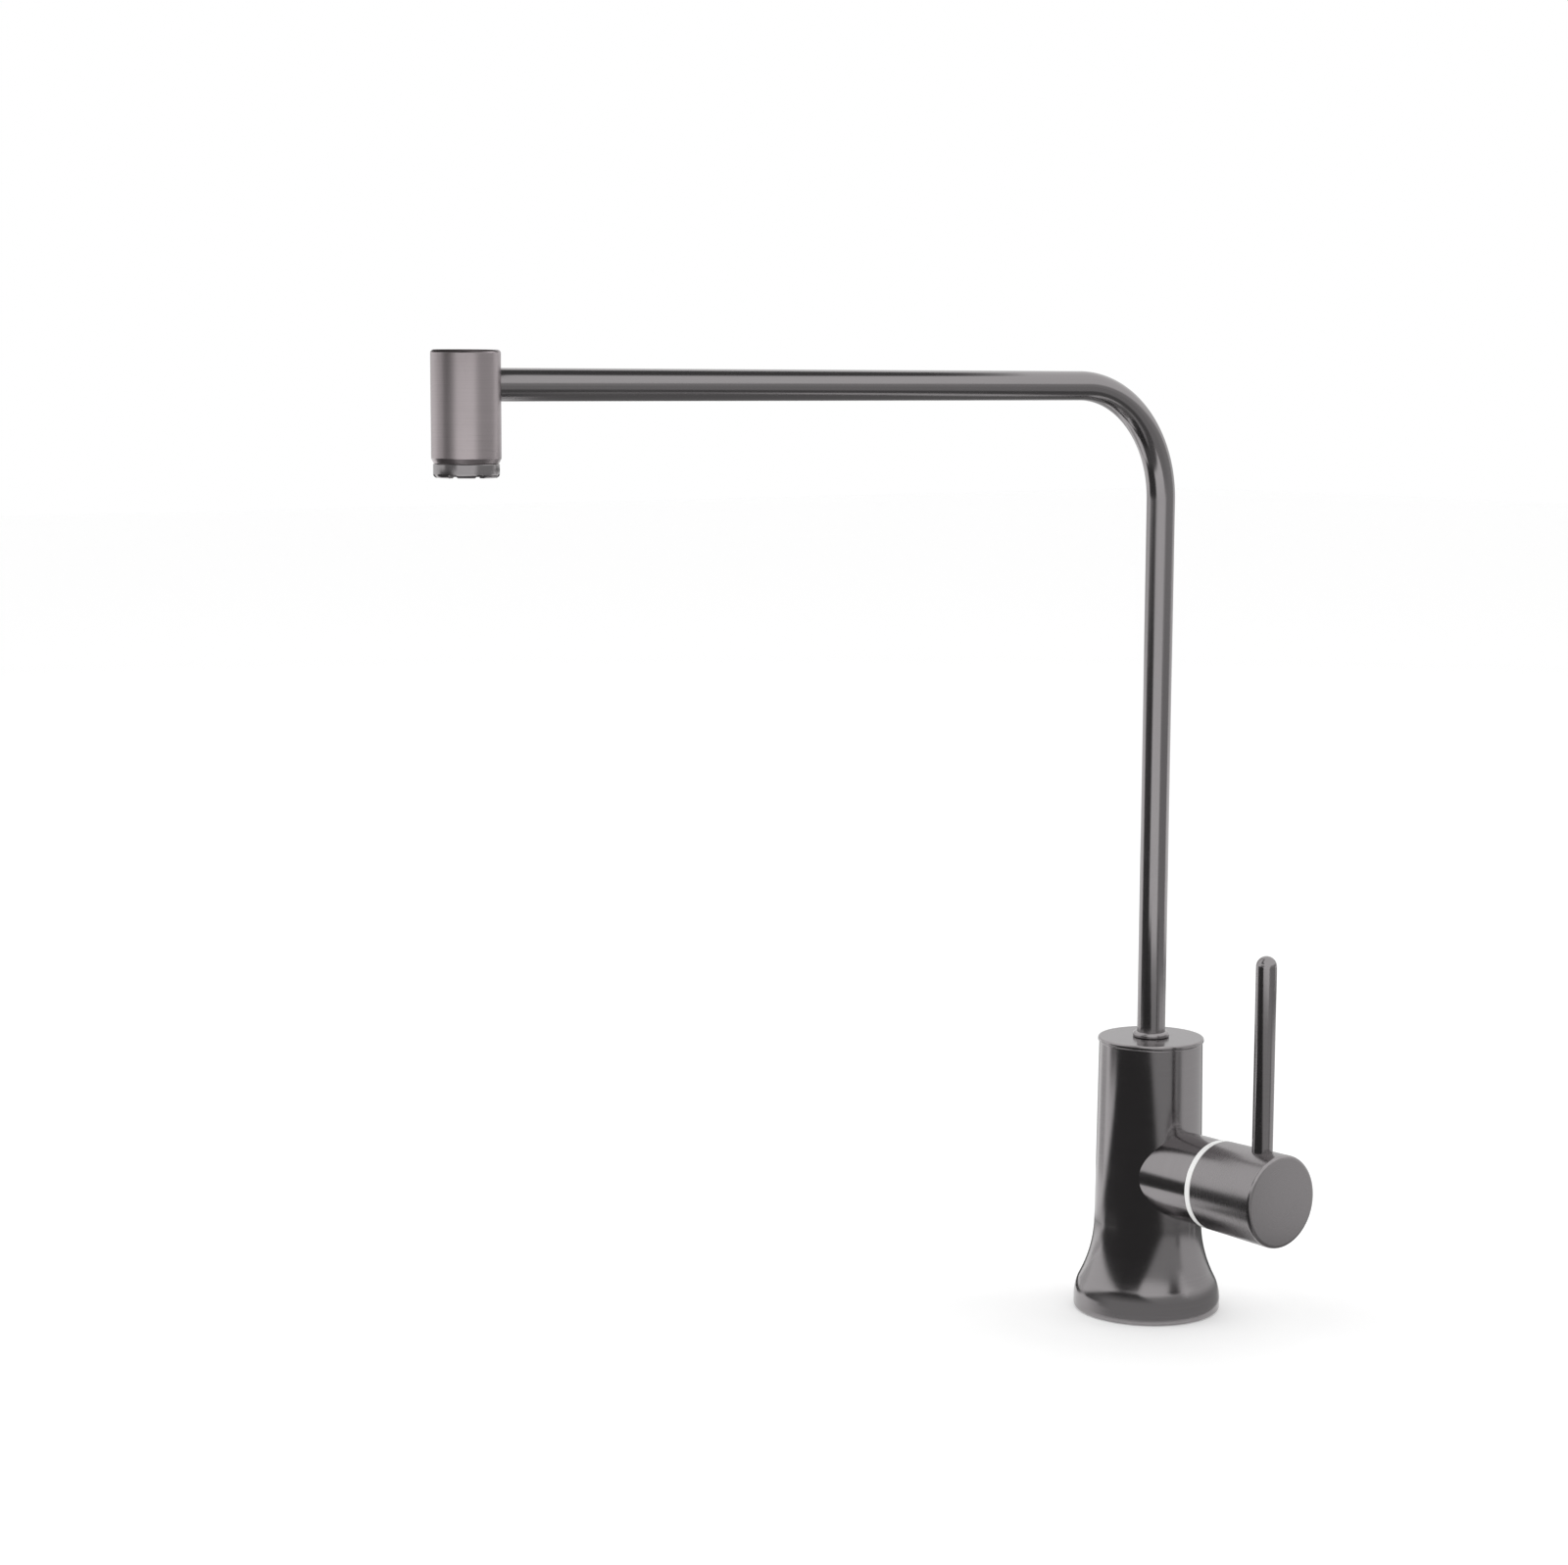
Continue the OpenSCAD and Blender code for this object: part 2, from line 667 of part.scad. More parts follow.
// Sleeve with a spoked grid across its lower end
module aerator_core() {
    color(pale_plastic) at_outlet(core_z) {
        washer(core_r, core_r - core_wall, screen_z - seat_gap - core_z);
        washer(core_r / 2 + core_rib_w, core_r / 2, core_grid_h);
        for (i = [0 : core_rib_count / 2 - 1])
            rotate(i * 360 / core_rib_count) translate([core_wall / 2 - core_r, -core_rib_w / 2, 0])
                cube([2 * core_r - core_wall, core_rib_w, core_grid_h]);
    }
}

// Disc with rows of holes, kept inside a plain rim
module aerator_screen() {
    hole_limit = core_r - core_wall - screen_hole_r;
    rows = floor(hole_limit / screen_pitch);
    color(plain_steel) at_outlet(screen_z) difference() {
        cylinder(r = core_r, h = screen_t - seat_gap);
        for (i = [-rows : rows], j = [-rows : rows])
            if (norm([i, j]) * screen_pitch < hole_limit)
                translate([i * screen_pitch, j * screen_pitch, -over])
                    cylinder(r = screen_hole_r, h = screen_t + 2 * over, $fn = 24);
    }
}

body();
deck_seal();
top_cap();
spout_bush();
thrust_washer();
valve_boss();
trim_ring();
cartridge_body();
cartridge_o_ring();
seat_seal();
fixed_disc();
knob();
lever_pin();
grub_screw();
spindle();
turning_disc();
spindle_o_ring();
spindle_clip();
spout_tube();
spout_spigot();
spigot_o_rings();
spout_collar();
outlet_head();
aerator_collar();
aerator_seal();
aerator_core();
aerator_screen();
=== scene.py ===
"""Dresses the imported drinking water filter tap: smooth turned pieces, finishes, studio light and camera."""

import logging
import math
from dataclasses import dataclass, field
from enum import Enum

import bpy
import numpy as np
from mathutils import Matrix, Vector


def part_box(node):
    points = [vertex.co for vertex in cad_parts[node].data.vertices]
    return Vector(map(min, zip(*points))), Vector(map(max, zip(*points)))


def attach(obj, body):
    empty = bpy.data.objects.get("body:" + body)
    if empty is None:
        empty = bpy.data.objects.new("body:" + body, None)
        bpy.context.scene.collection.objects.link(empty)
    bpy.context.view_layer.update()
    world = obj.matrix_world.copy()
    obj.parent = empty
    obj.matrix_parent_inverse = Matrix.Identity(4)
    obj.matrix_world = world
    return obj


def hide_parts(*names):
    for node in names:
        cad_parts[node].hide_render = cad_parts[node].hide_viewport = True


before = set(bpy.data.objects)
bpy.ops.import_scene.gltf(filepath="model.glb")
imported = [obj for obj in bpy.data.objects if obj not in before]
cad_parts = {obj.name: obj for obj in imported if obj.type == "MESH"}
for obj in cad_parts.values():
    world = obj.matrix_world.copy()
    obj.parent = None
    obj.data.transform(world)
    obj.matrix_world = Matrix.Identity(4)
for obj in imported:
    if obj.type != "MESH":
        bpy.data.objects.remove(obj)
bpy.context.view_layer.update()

log = logging.getLogger("filter_tap")
MM = 0.001
MICRON = 0.001 * MM
EDGE_BREAK = 0.3 * MM
SEAT_GAP = 0.02 * MM
THREAD_GAP = 0.05 * MM
TINY = 1e-9
FULL_TURN = 2 * math.pi
ROUND_STEPS = 192
X, Y, Z = range(3)
Pair = tuple[float, float]
Triple = tuple[float, float, float]
Value = bpy.types.NodeSocket | float


# Outlines

def eased(share: np.ndarray) -> np.ndarray:
    """A smooth step: 3 s squared less 2 s cubed, with the share s held between 0 and 1."""
    held = np.clip(share, 0, 1)
    return held * held * (3 - 2 * held)


def arc(centre: Pair, radius: float, start: float, end: float, steps: int) -> np.ndarray:
    """Points of an arc: centre + radius * (cos a, sin a), with a running evenly from start to end.

    Args:
        centre: Centre of the arc.
        radius: Radius of the arc.
        start: First angle, in degrees.
        end: Last angle, in degrees.
        steps: Number of stretches.

    Returns:
        One (radius, height) row per point.
    """
    angle = np.radians(np.linspace(start, end, steps + 1))
    return np.asarray(centre) + radius * np.column_stack((np.cos(angle), np.sin(angle)))


def rod(radius: float, length: float) -> np.ndarray:
    """Outline of a plain rod, from the middle of one end to the middle of the other."""
    return np.array([(0, 0), (radius, 0), (radius, length), (0, length)])


def softened(corners: list[Triple], steps: int) -> np.ndarray:
    """An outline whose corners are rounded.

    With u and v the unit vectors from a corner to its neighbours and half the angle between them halved, the
    arc's centre is corner + (u + v) / |u + v| * radius / sin(half), and the arc swings from one side to the
    other by spherical interpolation. A radius of nought leaves the corner sharp.

    Args:
        corners: (radius, height, rounding) of each corner.
        steps: Number of stretches in each rounding.

    Returns:
        One (radius, height) row per point, with no point twice.
    """
    table = np.asarray(corners, float)
    corner = table[:, :2]
    rounding = table[:, 2:]
    to_last = np.roll(corner, 1, axis=0) - corner
    to_next = np.roll(corner, -1, axis=0) - corner
    to_last /= np.linalg.norm(to_last, axis=1, keepdims=True)
    to_next /= np.linalg.norm(to_next, axis=1, keepdims=True)
    middle = to_last + to_next
    middle /= np.maximum(np.linalg.norm(middle, axis=1, keepdims=True), TINY)
    half = np.arccos(np.clip(np.sum(to_last * to_next, axis=1, keepdims=True), -1, 1)) / 2
    hairpin, straight = 1e-3, math.pi / 2 - 1e-6
    half = np.clip(half, hairpin, straight)
    centre = corner + middle * rounding / np.sin(half)
    first = corner + to_last * rounding / np.tan(half) - centre
    last = corner + to_next * rounding / np.tan(half) - centre
    sweep = (math.pi - 2 * half)[:, :, None]
    share = np.linspace(0, 1, steps + 1)[None, :, None]
    swing = np.sin((1 - share) * sweep) * first[:, None] + np.sin(share * sweep) * last[:, None]
    points = (centre[:, None] + swing / np.sin(sweep)).reshape(-1, 2)
    spacing = np.linalg.norm(np.diff(points, axis=0), axis=1)
    return points[np.concatenate(([True], spacing > MICRON / 10))]


def supported(outline: np.ndarray, looped: bool, inset: float = 0.1 * MM) -> np.ndarray:
    """An outline with a point close to both ends of each long stretch, which keeps flats flat when shaded.

    Args:
        outline: Rows of (radius, height).
        looped: Whether the last point joins the first.
        inset: Distance of the added points from the ends.

    Returns:
        The outline with its added rows.
    """
    stretch = np.roll(outline, -1, axis=0) - outline
    length = np.linalg.norm(stretch, axis=1, keepdims=True)
    shift = stretch * inset / np.maximum(length, TINY)
    rows = np.stack((outline, outline + shift, outline + stretch - shift), axis=1)
    long = length[:, 0] > 4 * inset
    if not looped:
        long[-1] = False
    return rows[np.stack((np.ones_like(long), long, long), axis=1)]


def edge_share(outline: np.ndarray, looped: bool, scale: float = MM) -> np.ndarray:
    """How sharp the outline is at each point: its curvature times scale, -1 to 1, positive on outer edges.

    Args:
        outline: Rows of (radius, height).
        looped: Whether the last point joins the first.
        scale: Radius at which an edge counts in full.

    Returns:
        One value per point.
    """
    ahead = np.roll(outline, -1, axis=0)
    before = outline - np.roll(outline, 1, axis=0)
    after = ahead - outline
    cross = before[:, 0] * after[:, 1] - before[:, 1] * after[:, 0]
    turn = np.arctan2(cross, np.sum(before * after, axis=1))
    spacing = (np.linalg.norm(before, axis=1) + np.linalg.norm(after, axis=1)) / 2
    side = np.sign(np.sum(outline[:, 0] * ahead[:, 1] - outline[:, 1] * ahead[:, 0]))
    share = np.clip(turn * side / np.maximum(spacing, TINY) * scale, -1, 1)
    if not looped:
        share[[0, -1]] = 0
    return share


# Surfaces

class TurnAxis(Enum):
    """The axis that a piece is turned about, as the directions of its own x, y and z."""

    UPRIGHT = ((1, 0, 0), (0, 1, 0), (0, 0, 1))
    VALVE = ((0, 0, -1), (0, 1, 0), (1, 0, 0))

    def set_out(self, points: np.ndarray) -> np.ndarray:
        """Turns points from the piece's own axes to the tap's."""
        return points @ np.asarray(self.value, float)

    def angles(self) -> Triple:
        """Turn that takes the tap's axes to the piece's own."""
        return tuple(Matrix(np.asarray(self.value, float).tolist()).to_euler())


@dataclass(frozen=True)
class Seat:
    """Where a turned piece stands: its axis, and a point on it where the outline's height is nought."""

    axis: TurnAxis
    foot: Triple


COLUMN_SEAT = Seat(TurnAxis.UPRIGHT, (0.0, 0.0, 0.0))


@dataclass
class Surface:
    """A closed grid of points with its faces and its painted values, ready to become a mesh."""

    points: np.ndarray
    quads: np.ndarray
    triangles: np.ndarray
    paint: dict[str, np.ndarray]

    def outward(self) -> bool:
        """Which way the faces point, from the sign of the enclosed volume.

        Returns:
            Whether they point outwards.
        """
        fans = np.concatenate((self.quads[:, :3], self.quads[:, [0, 2, 3]], self.triangles))
        corner = self.points[fans]
        volume = np.sum(corner[:, 0] * np.cross(corner[:, 1], corner[:, 2]))
        return bool(volume > 0)

    def piece(self, name: str) -> bpy.types.Object:
        """Makes the Blender object.

        Args:
            name: Name of the piece.

        Returns:
            The object, at the origin, with its place in its mesh.
        """
        order = 1 if self.outward() else -1
        used, renamed = np.unique(
            np.concatenate((self.quads.ravel(), self.triangles.ravel())), return_inverse=True)
        quads = renamed[:self.quads.size].reshape(-1, 4)[:, ::order]
        triangles = renamed[self.quads.size:].reshape(-1, 3)[:, ::order]
        mesh = bpy.data.meshes.new(name)
        mesh.from_pydata(self.points[used].tolist(), [], quads.tolist() + triangles.tolist())
        for label, values in self.paint.items():
            kind, entry = ("FLOAT", "value") if values.ndim == 1 else ("FLOAT_VECTOR", "vector")
            layer = mesh.attributes.new(label, kind, "POINT")
            layer.data.foreach_set(entry, values[used].ravel())
        shade(mesh)
        return stand(name, mesh)


def stand(name: str, data: bpy.types.ID) -> bpy.types.Object:
    """Puts a mesh, lamp or camera into the scene.

    Args:
        name: Name of the object.
        data: What the object shows.

    Returns:
        The object.
    """
    shown = bpy.data.objects.new(name, data)
    bpy.context.scene.collection.objects.link(shown)
    return shown


def shade(mesh: bpy.types.Mesh, crease: float = 28.0) -> None:
    """Shades a mesh smooth, with its sharp edges kept.

    Args:
        mesh: The mesh.
        crease: Angle past which an edge is sharp, in degrees.
    """
    mesh.polygons.foreach_set("use_smooth", np.ones(len(mesh.polygons), bool))
    mesh.set_sharp_from_angle(angle=math.radians(crease))
    mesh.update()


def joined_grid(index: np.ndarray, looped: bool) -> np.ndarray:
    """Quads between neighbouring rows of a grid whose columns go round.

    Args:
        index: Point numbers, one row per outline point and one column per angle.
        looped: Whether the last row joins the first.

    Returns:
        One row of four point numbers per cell, in the shape (rows, columns, 4).
    """
    low = index if looped else index[:-1]
    high = np.roll(index, -1, axis=0) if looped else index[1:]
    return np.stack((low, np.roll(low, -1, axis=1), np.roll(high, -1, axis=1), high), axis=-1)


def turned(outline: np.ndarray, seat: Seat, looped: bool = False, steps: int = ROUND_STEPS) -> Surface:
    """A surface of revolution: the point (r, h) of the outline at angle a lies at (r cos a, r sin a, h).

    Args:
        outline: Rows of (radius, height). An open outline starts and ends on the axis.
        seat: Axis and foot of the piece.
        looped: Whether the last point joins the first.
        steps: Number of points round.

    Returns:
        The surface, in the tap's axes.
    """
    angle = np.linspace(0, FULL_TURN, steps, endpoint=False)
    radius = outline[:, :1]
    height = np.broadcast_to(outline[:, 1:], (len(outline), steps))
    grid = np.stack((radius * np.cos(angle), radius * np.sin(angle), height), axis=-1)
    index = np.arange(grid[..., 0].size).reshape(height.shape)
    on_axis = outline[:, 0] < TINY
    index[on_axis] = index[on_axis, :1]
    cells = joined_grid(index, looped)
    low_pole = on_axis if looped else on_axis[:-1]
    high_pole = np.roll(on_axis, -1) if looped else on_axis[1:]
    triangles = np.concatenate((
        cells[low_pole & ~high_pole][..., [0, 2, 3]].reshape(-1, 3),
        cells[high_pole & ~low_pole][..., :3].reshape(-1, 3)))
    edge = np.repeat(edge_share(outline, looped), steps)
    points = seat.axis.set_out(grid.reshape(-1, 3)) + np.asarray(seat.foot)
    quads = cells[~low_pole & ~high_pole].reshape(-1, 4)
    return Surface(points, quads, triangles, {"edge": edge})


def cut(piece: bpy.types.Object, cutter: bpy.types.Object) -> None:
    """Takes the cutter's volume out of a piece and removes the cutter.

    Args:
        piece: The piece that is cut.
        cutter: A closed shape.
    """
    step = piece.modifiers.new("cut", "BOOLEAN")
    step.operation = "DIFFERENCE"
    step.solver = "EXACT"
    step.object = cutter
    result = bpy.data.meshes.new_from_object(piece.evaluated_get(bpy.context.evaluated_depsgraph_get()))
    piece.modifiers.clear()
    whole = piece.data
    piece.data = result
    result.name = piece.name
    bpy.data.meshes.remove(whole)
    bpy.data.objects.remove(cutter)
    shade(result)


# Shader effects

LINE_NOISE = {"Scale": 1.0, "Detail": 3.0, "Roughness": 0.62}
MARK_NOISE = {"Detail": 4.0, "Roughness": 0.55, "Distortion": 1.2}
EDGE_BREAKUP_NOISE = {"Scale": 420.0, "Detail": 3.0, "Roughness": 0.6}
SKIN_NOISE = {"Detail": 2.0, "Roughness": 0.5}
CLOUD_NOISE = {"Scale": 120.0, "Detail": 3.0, "Roughness": 0.5}
NOISE_SPAN = (0.3, 0.7)
MARK_PEAKS = (0.46, 0.74)
EDGE_BREAKUP_SPAN = (0.35, 0.7)
LEAST_EDGE_BREAKUP = 0.35
EDGE_SPAN = (0.1, 0.9)
DRIFT_ROUND = 60.0
DRIFT_ALONG = 14.0


class Sketch:
    """Adds and links nodes in one node tree."""

    def __init__(self, tree: bpy.types.NodeTree) -> None:
        """Starts from an empty tree."""
        self.tree = tree
        tree.nodes.clear()

    def add(self, kind: str, inputs: dict | None = None, **settings: object) -> bpy.types.Node:
        """Adds a node.

        Args:
            kind: Node type.
            inputs: A socket to link or a value to set, by input name or number.
            settings: Properties of the node.

        Returns:
            The node.
        """
        node = self.tree.nodes.new(kind)
        for label, setting in settings.items():
            setattr(node, label, setting)
        for label, given in (inputs or {}).items():
            if isinstance(given, bpy.types.NodeSocket):
                self.tree.links.new(given, node.inputs[label])
            else:
                node.inputs[label].default_value = given
        return node

    def reckon(self, operation: str, first: Value, second: Value) -> bpy.types.NodeSocket:
        """Works out one operation on two values."""
        return self.add("ShaderNodeMath", {0: first, 1: second}, operation=operation).outputs[0]

    def product(self, first: Value, second: Value) -> bpy.types.NodeSocket:
        """Multiplies two values."""
        return self.reckon("MULTIPLY", first, second)

    def spread(self, value: Value, span: Pair, to: Pair = (0.0, 1.0)) -> bpy.types.NodeSocket:
        """Maps the span's ends onto two other values, held at both ends."""
        inputs = {"Value": value, "From Min": span[0], "From Max": span[1], "To Min": to[0], "To Max": to[1]}
        return self.add("ShaderNodeMapRange", inputs).outputs[0]

    def blend(self, share: Value, first: object, second: object) -> bpy.types.NodeSocket:
        """Mixes two colours by a share, through the mix node's colour sockets: 6 and 7 in, 2 out."""
        return self.add("ShaderNodeMix", {0: share, 6: first, 7: second}, data_type="RGBA").outputs[2]

    def noise(self, place: bpy.types.NodeSocket, kind: dict[str, Value]) -> bpy.types.NodeSocket:
        """Noise of one kind over a place."""
        return self.add("ShaderNodeTexNoise", {"Vector": place, **kind}).outputs[0]

    def parts(self, place: bpy.types.NodeSocket) -> bpy.types.NodeOutputs:
        """The x, y and z of a place."""
        return self.add("ShaderNodeSeparateXYZ", {0: place}).outputs

    def joined(self, *parts: Value) -> bpy.types.NodeSocket:
        """A place from its x, y and z."""
        return self.add("ShaderNodeCombineXYZ", dict(enumerate(parts))).outputs[0]

    def painted(self, label: str, output: str = "Fac") -> bpy.types.NodeSocket:
        """A value that is painted on the piece's points."""
        return self.add("ShaderNodeAttribute", attribute_name=label).outputs[output]

    def group(self, effect: "Effect", inputs: dict) -> bpy.types.NodeOutputs:
        """Places a shared effect with its own values."""
        return self.add("ShaderNodeGroup", inputs, node_tree=effect.tree()).outputs

    def give(self, outputs: dict[str, bpy.types.NodeSocket]) -> bpy.types.NodeTree:
        """Joins values to the outputs of a node group, and hands the group over."""
        self.add("NodeGroupOutput", outputs)
        return self.tree

    def show(self, surface: bpy.types.Node) -> None:
        """Joins a surface to the material's output."""
        self.add("ShaderNodeOutputMaterial", {"Surface": surface.outputs[0]})


class Effect(Enum):
    """Surface effects that several finishes share, each one node group."""

    TURNING_LINES = "turning_lines"
    DRAWN_LINES = "drawn_lines"
    HAND_MARKS = "hand_marks"
    EDGE_WEAR = "edge_wear"
    MOULD_SKIN = "mould_skin"

    def tree(self) -> bpy.types.NodeTree:
        """The effect's node group, built on first use."""
        known = bpy.data.node_groups.get(self.value)
        return known if known else EFFECT_BUILDERS[self](self.value)


def new_group(
        name: str, measure: str, *outputs: str) -> tuple[Sketch, bpy.types.NodeSocket, bpy.types.NodeSocket]:
    """Starts a node group that takes a place and one value.

    Args:
        name: Name of the group.
        measure: Name of the value.
        outputs: Names of the outputs, all values.

    Returns:
        The sketch, the place's socket and the value's socket.
    """
    tree = bpy.data.node_groups.new(name, "ShaderNodeTree")
    tree.interface.new_socket("Vector", in_out="INPUT", socket_type="NodeSocketVector")
    tree.interface.new_socket(measure, in_out="INPUT", socket_type="NodeSocketFloat")
    for label in outputs:
        tree.interface.new_socket(label, in_out="OUTPUT", socket_type="NodeSocketFloat")
    sketch = Sketch(tree)
    entry = sketch.add("NodeGroupInput")
    return sketch, entry.outputs["Vector"], entry.outputs[measure]


def turning_lines(name: str) -> bpy.types.NodeTree:
    """Fine lines left by turning: noise over height and distance from the axis, drawn out round it.

    Args:
        name: Name of the group.

    Returns:
        The node group.
    """
    sketch, place, pitch = new_group(name, "Pitch", "Lines")
    x, y, z = sketch.parts(place)
    level = sketch.joined(x, y)
    radius = sketch.add("ShaderNodeVectorMath", {0: level}, operation="LENGTH").outputs["Value"]
    across = sketch.reckon("DIVIDE", radius, pitch)
    along = sketch.reckon("DIVIDE", z, pitch)
    lines = sketch.joined(across, along, sketch.product(x, DRIFT_ROUND))
    return sketch.give({"Lines": sketch.noise(lines, LINE_NOISE)})


def drawn_lines(name: str) -> bpy.types.NodeTree:
    """Fine lines along a drawn tube: noise over the angle round it, drawn out along it.

    Args:
        name: Name of the group.

    Returns:
        The node group.
    """
    sketch, place, count = new_group(name, "Count", "Lines")
    x, y, z = sketch.parts(place)
    lines = sketch.joined(sketch.product(x, count), sketch.product(y, count), sketch.product(z, DRIFT_ALONG))
    return sketch.give({"Lines": sketch.noise(lines, LINE_NOISE)})


def hand_marks(name: str) -> bpy.types.NodeTree:
    """Faint cloudy marks from handling and wiping: distorted noise with only its peaks kept.

    Args:
        name: Name of the group.

    Returns:
        The node group.
    """
    sketch, place, scale = new_group(name, "Scale", "Marks")
    clouds = sketch.noise(place, {"Scale": scale, **MARK_NOISE})
    return sketch.give({"Marks": sketch.spread(clouds, MARK_PEAKS)})


def edge_wear(name: str) -> bpy.types.NodeTree:
    """Outer edges lightened, partly as rubbed wear and partly as a painted highlight, and inner corners
    darkened as painted shade, from the painted edge value broken up by noise.

    Args:
        name: Name of the group.

    Returns:
        The node group.
    """
    sketch, place, edge = new_group(name, "Edge", "Wear", "CornerShade")
    broken = sketch.spread(sketch.noise(place, EDGE_BREAKUP_NOISE), EDGE_BREAKUP_SPAN, (LEAST_EDGE_BREAKUP, 1))
    least, full = EDGE_SPAN
    # Outer edges: partly wear, partly a painted highlight. Inner corners: painted shade.
    outer = sketch.spread(edge, (least, full))
    inner = sketch.spread(edge, (-full, -least), (1, 0))
    return sketch.give({"Wear": sketch.product(outer, broken), "CornerShade": sketch.product(inner, broken)})


def mould_skin(name: str) -> bpy.types.NodeTree:
    """The fine skin of a moulded or fired piece: small grain over slow clouds.

    Args:
        name: Name of the group.

    Returns:
        The node group.
    """
    sketch, place, grain = new_group(name, "Grain", "Skin", "Clouds")
    skin = sketch.noise(place, {"Scale": grain, **SKIN_NOISE})
    return sketch.give({"Skin": skin, "Clouds": sketch.noise(place, CLOUD_NOISE)})


EFFECT_BUILDERS = {
    Effect.TURNING_LINES: turning_lines,
    Effect.DRAWN_LINES: drawn_lines,
    Effect.HAND_MARKS: hand_marks,
    Effect.EDGE_WEAR: edge_wear,
    Effect.MOULD_SKIN: mould_skin,
}


# Finishes

def opaque(colour: Triple) -> tuple[float, float, float, float]:
    """A colour with full cover."""
    return (*colour, 1.0)


def scaled(colour: Triple, share: float) -> tuple[float, float, float, float]:
    """A colour lightened or darkened by a share, with full cover."""
    return opaque(tuple(min(1.0, part * share) for part in colour))


def varied(sketch: Sketch, share: Value, colour: Triple, depth: float) -> bpy.types.NodeSocket:
    """A colour that goes from darker to lighter by a depth as the share goes from 0 to 1."""
    return sketch.blend(share, scaled(colour, 1 - depth), scaled(colour, 1 + depth))


def about(value: float, width: float) -> Pair:
    """The ends of a band of one width about a value."""
    return value - width / 2, value + width / 2


def new_material(name: str) -> tuple[bpy.types.Material, Sketch]:
    """Starts a material.

    Args:
        name: Name of the material.

    Returns:
        The material and its empty sketch.
    """
    material = bpy.data.materials.new(name)
    material.use_nodes = True
    return material, Sketch(material.node_tree)


@dataclass(frozen=True)
class MetalFinish:
    """A plated or bare metal with fine tool lines, faint hand marks, outer edges lightened partly as wear and
    partly as a painted highlight, and inner corners darkened as painted shade.
    """

    slot: str
    colour: Triple
    roughness: float
    pitch: float = 0.12 * MM
    drawn_count: float = 55.0
    line_tone: float = 0.05
    line_roughness: float = 0.06
    line_depth: float = 0.25
    line_relief: float = 0.01 * MM
    mark_scale: float = 38.0
    mark_roughness: float = 0.05
    # The next two lighten outer edges, partly as wear and partly as a painted highlight; the three after
    # darken and roughen inner corners as painted shade.
    wear_and_highlight_tone: float = 1.35
    wear_and_highlight_share: float = 0.6
    corner_shade_tone: float = 0.55
    corner_shade_share: float = 0.5
    corner_roughness: float = 0.12

    def material(self, name: str, seat: Seat | None) -> bpy.types.Material:
        """Makes the material for one piece.

        Args:
            name: Name of the material.
            seat: Axis and foot that the turning lines go round, or None for lines along a drawn tube.

        Returns:
            The material.
        """
        material, sketch = new_material(name)
        place = sketch.add("ShaderNodeTexCoord").outputs["Object"]
        lines = self.tool_lines(sketch, place, seat)
        marks = sketch.group(Effect.HAND_MARKS, {"Vector": place, "Scale": self.mark_scale})["Marks"]
        worn_and_shaded = sketch.group(Effect.EDGE_WEAR, {"Vector": place, "Edge": sketch.painted("edge")})
        tone = sketch.spread(lines, NOISE_SPAN)
        plain = varied(sketch, tone, self.colour, self.line_tone)
        # Inner corners darkened: painted shade.
        corner_shade_amount = sketch.product(worn_and_shaded["CornerShade"], self.corner_shade_share)
        corner_shaded = sketch.blend(corner_shade_amount, plain, scaled(self.colour, self.corner_shade_tone))
        # Outer edges lightened: partly wear, partly a painted highlight.
        wear_and_highlight_amount = sketch.product(worn_and_shaded["Wear"], self.wear_and_highlight_share)
        worn_highlit_and_shaded = sketch.blend(wear_and_highlight_amount, corner_shaded, scaled(self.colour, self.wear_and_highlight_tone))
        relief = sketch.add("ShaderNodeBump", {
            "Strength": self.line_depth, "Distance": self.line_relief, "Height": lines})
        sketch.show(sketch.add("ShaderNodeBsdfPrincipled", {
            "Base Color": worn_highlit_and_shaded, "Roughness": self.gloss(sketch, tone, marks, worn_and_shaded["CornerShade"]),
            "Normal": relief.outputs[0], "Metallic": 1.0}))
        return material

    def tool_lines(
            self, sketch: Sketch, place: bpy.types.NodeSocket, seat: Seat | None) -> bpy.types.NodeSocket:
        """Lines round the piece's axis, or along a drawn tube.

        Args:
            sketch: Sketch of the material.
            place: The piece's own coordinates.
            seat: Axis and foot that the lines go round, or None for a drawn tube.

        Returns:
            The socket of the lines.
        """
        if seat is None:
            drawn = sketch.painted("drawn", "Vector")
            return sketch.group(Effect.DRAWN_LINES, {"Vector": drawn, "Count": self.drawn_count})["Lines"]
        centred = sketch.add("ShaderNodeMapping", {
            "Vector": place, "Location": seat.foot, "Rotation": seat.axis.angles()}, vector_type="TEXTURE")
        inputs = {"Vector": centred.outputs[0], "Pitch": self.pitch}
        return sketch.group(Effect.TURNING_LINES, inputs)["Lines"]

    def gloss(self, sketch: Sketch, tone: Value, marks: Value, corner_shade: Value) -> bpy.types.NodeSocket:
        """Roughness: the plain value, with lines, hand marks and rougher inner corners added.

        Args:
            sketch: Sketch of the material.
            tone: Share of the tool lines.
            marks: Share of the hand marks.
            corner_shade: Share of the inner corners, whose colour carries painted shade.

        Returns:
            The roughness socket.
        """
        lined = sketch.spread(tone, (0, 1), about(self.roughness, self.line_roughness))
        handled = sketch.reckon("ADD", lined, sketch.product(marks, self.mark_roughness))
        return sketch.reckon("ADD", handled, sketch.product(corner_shade, self.corner_roughness))


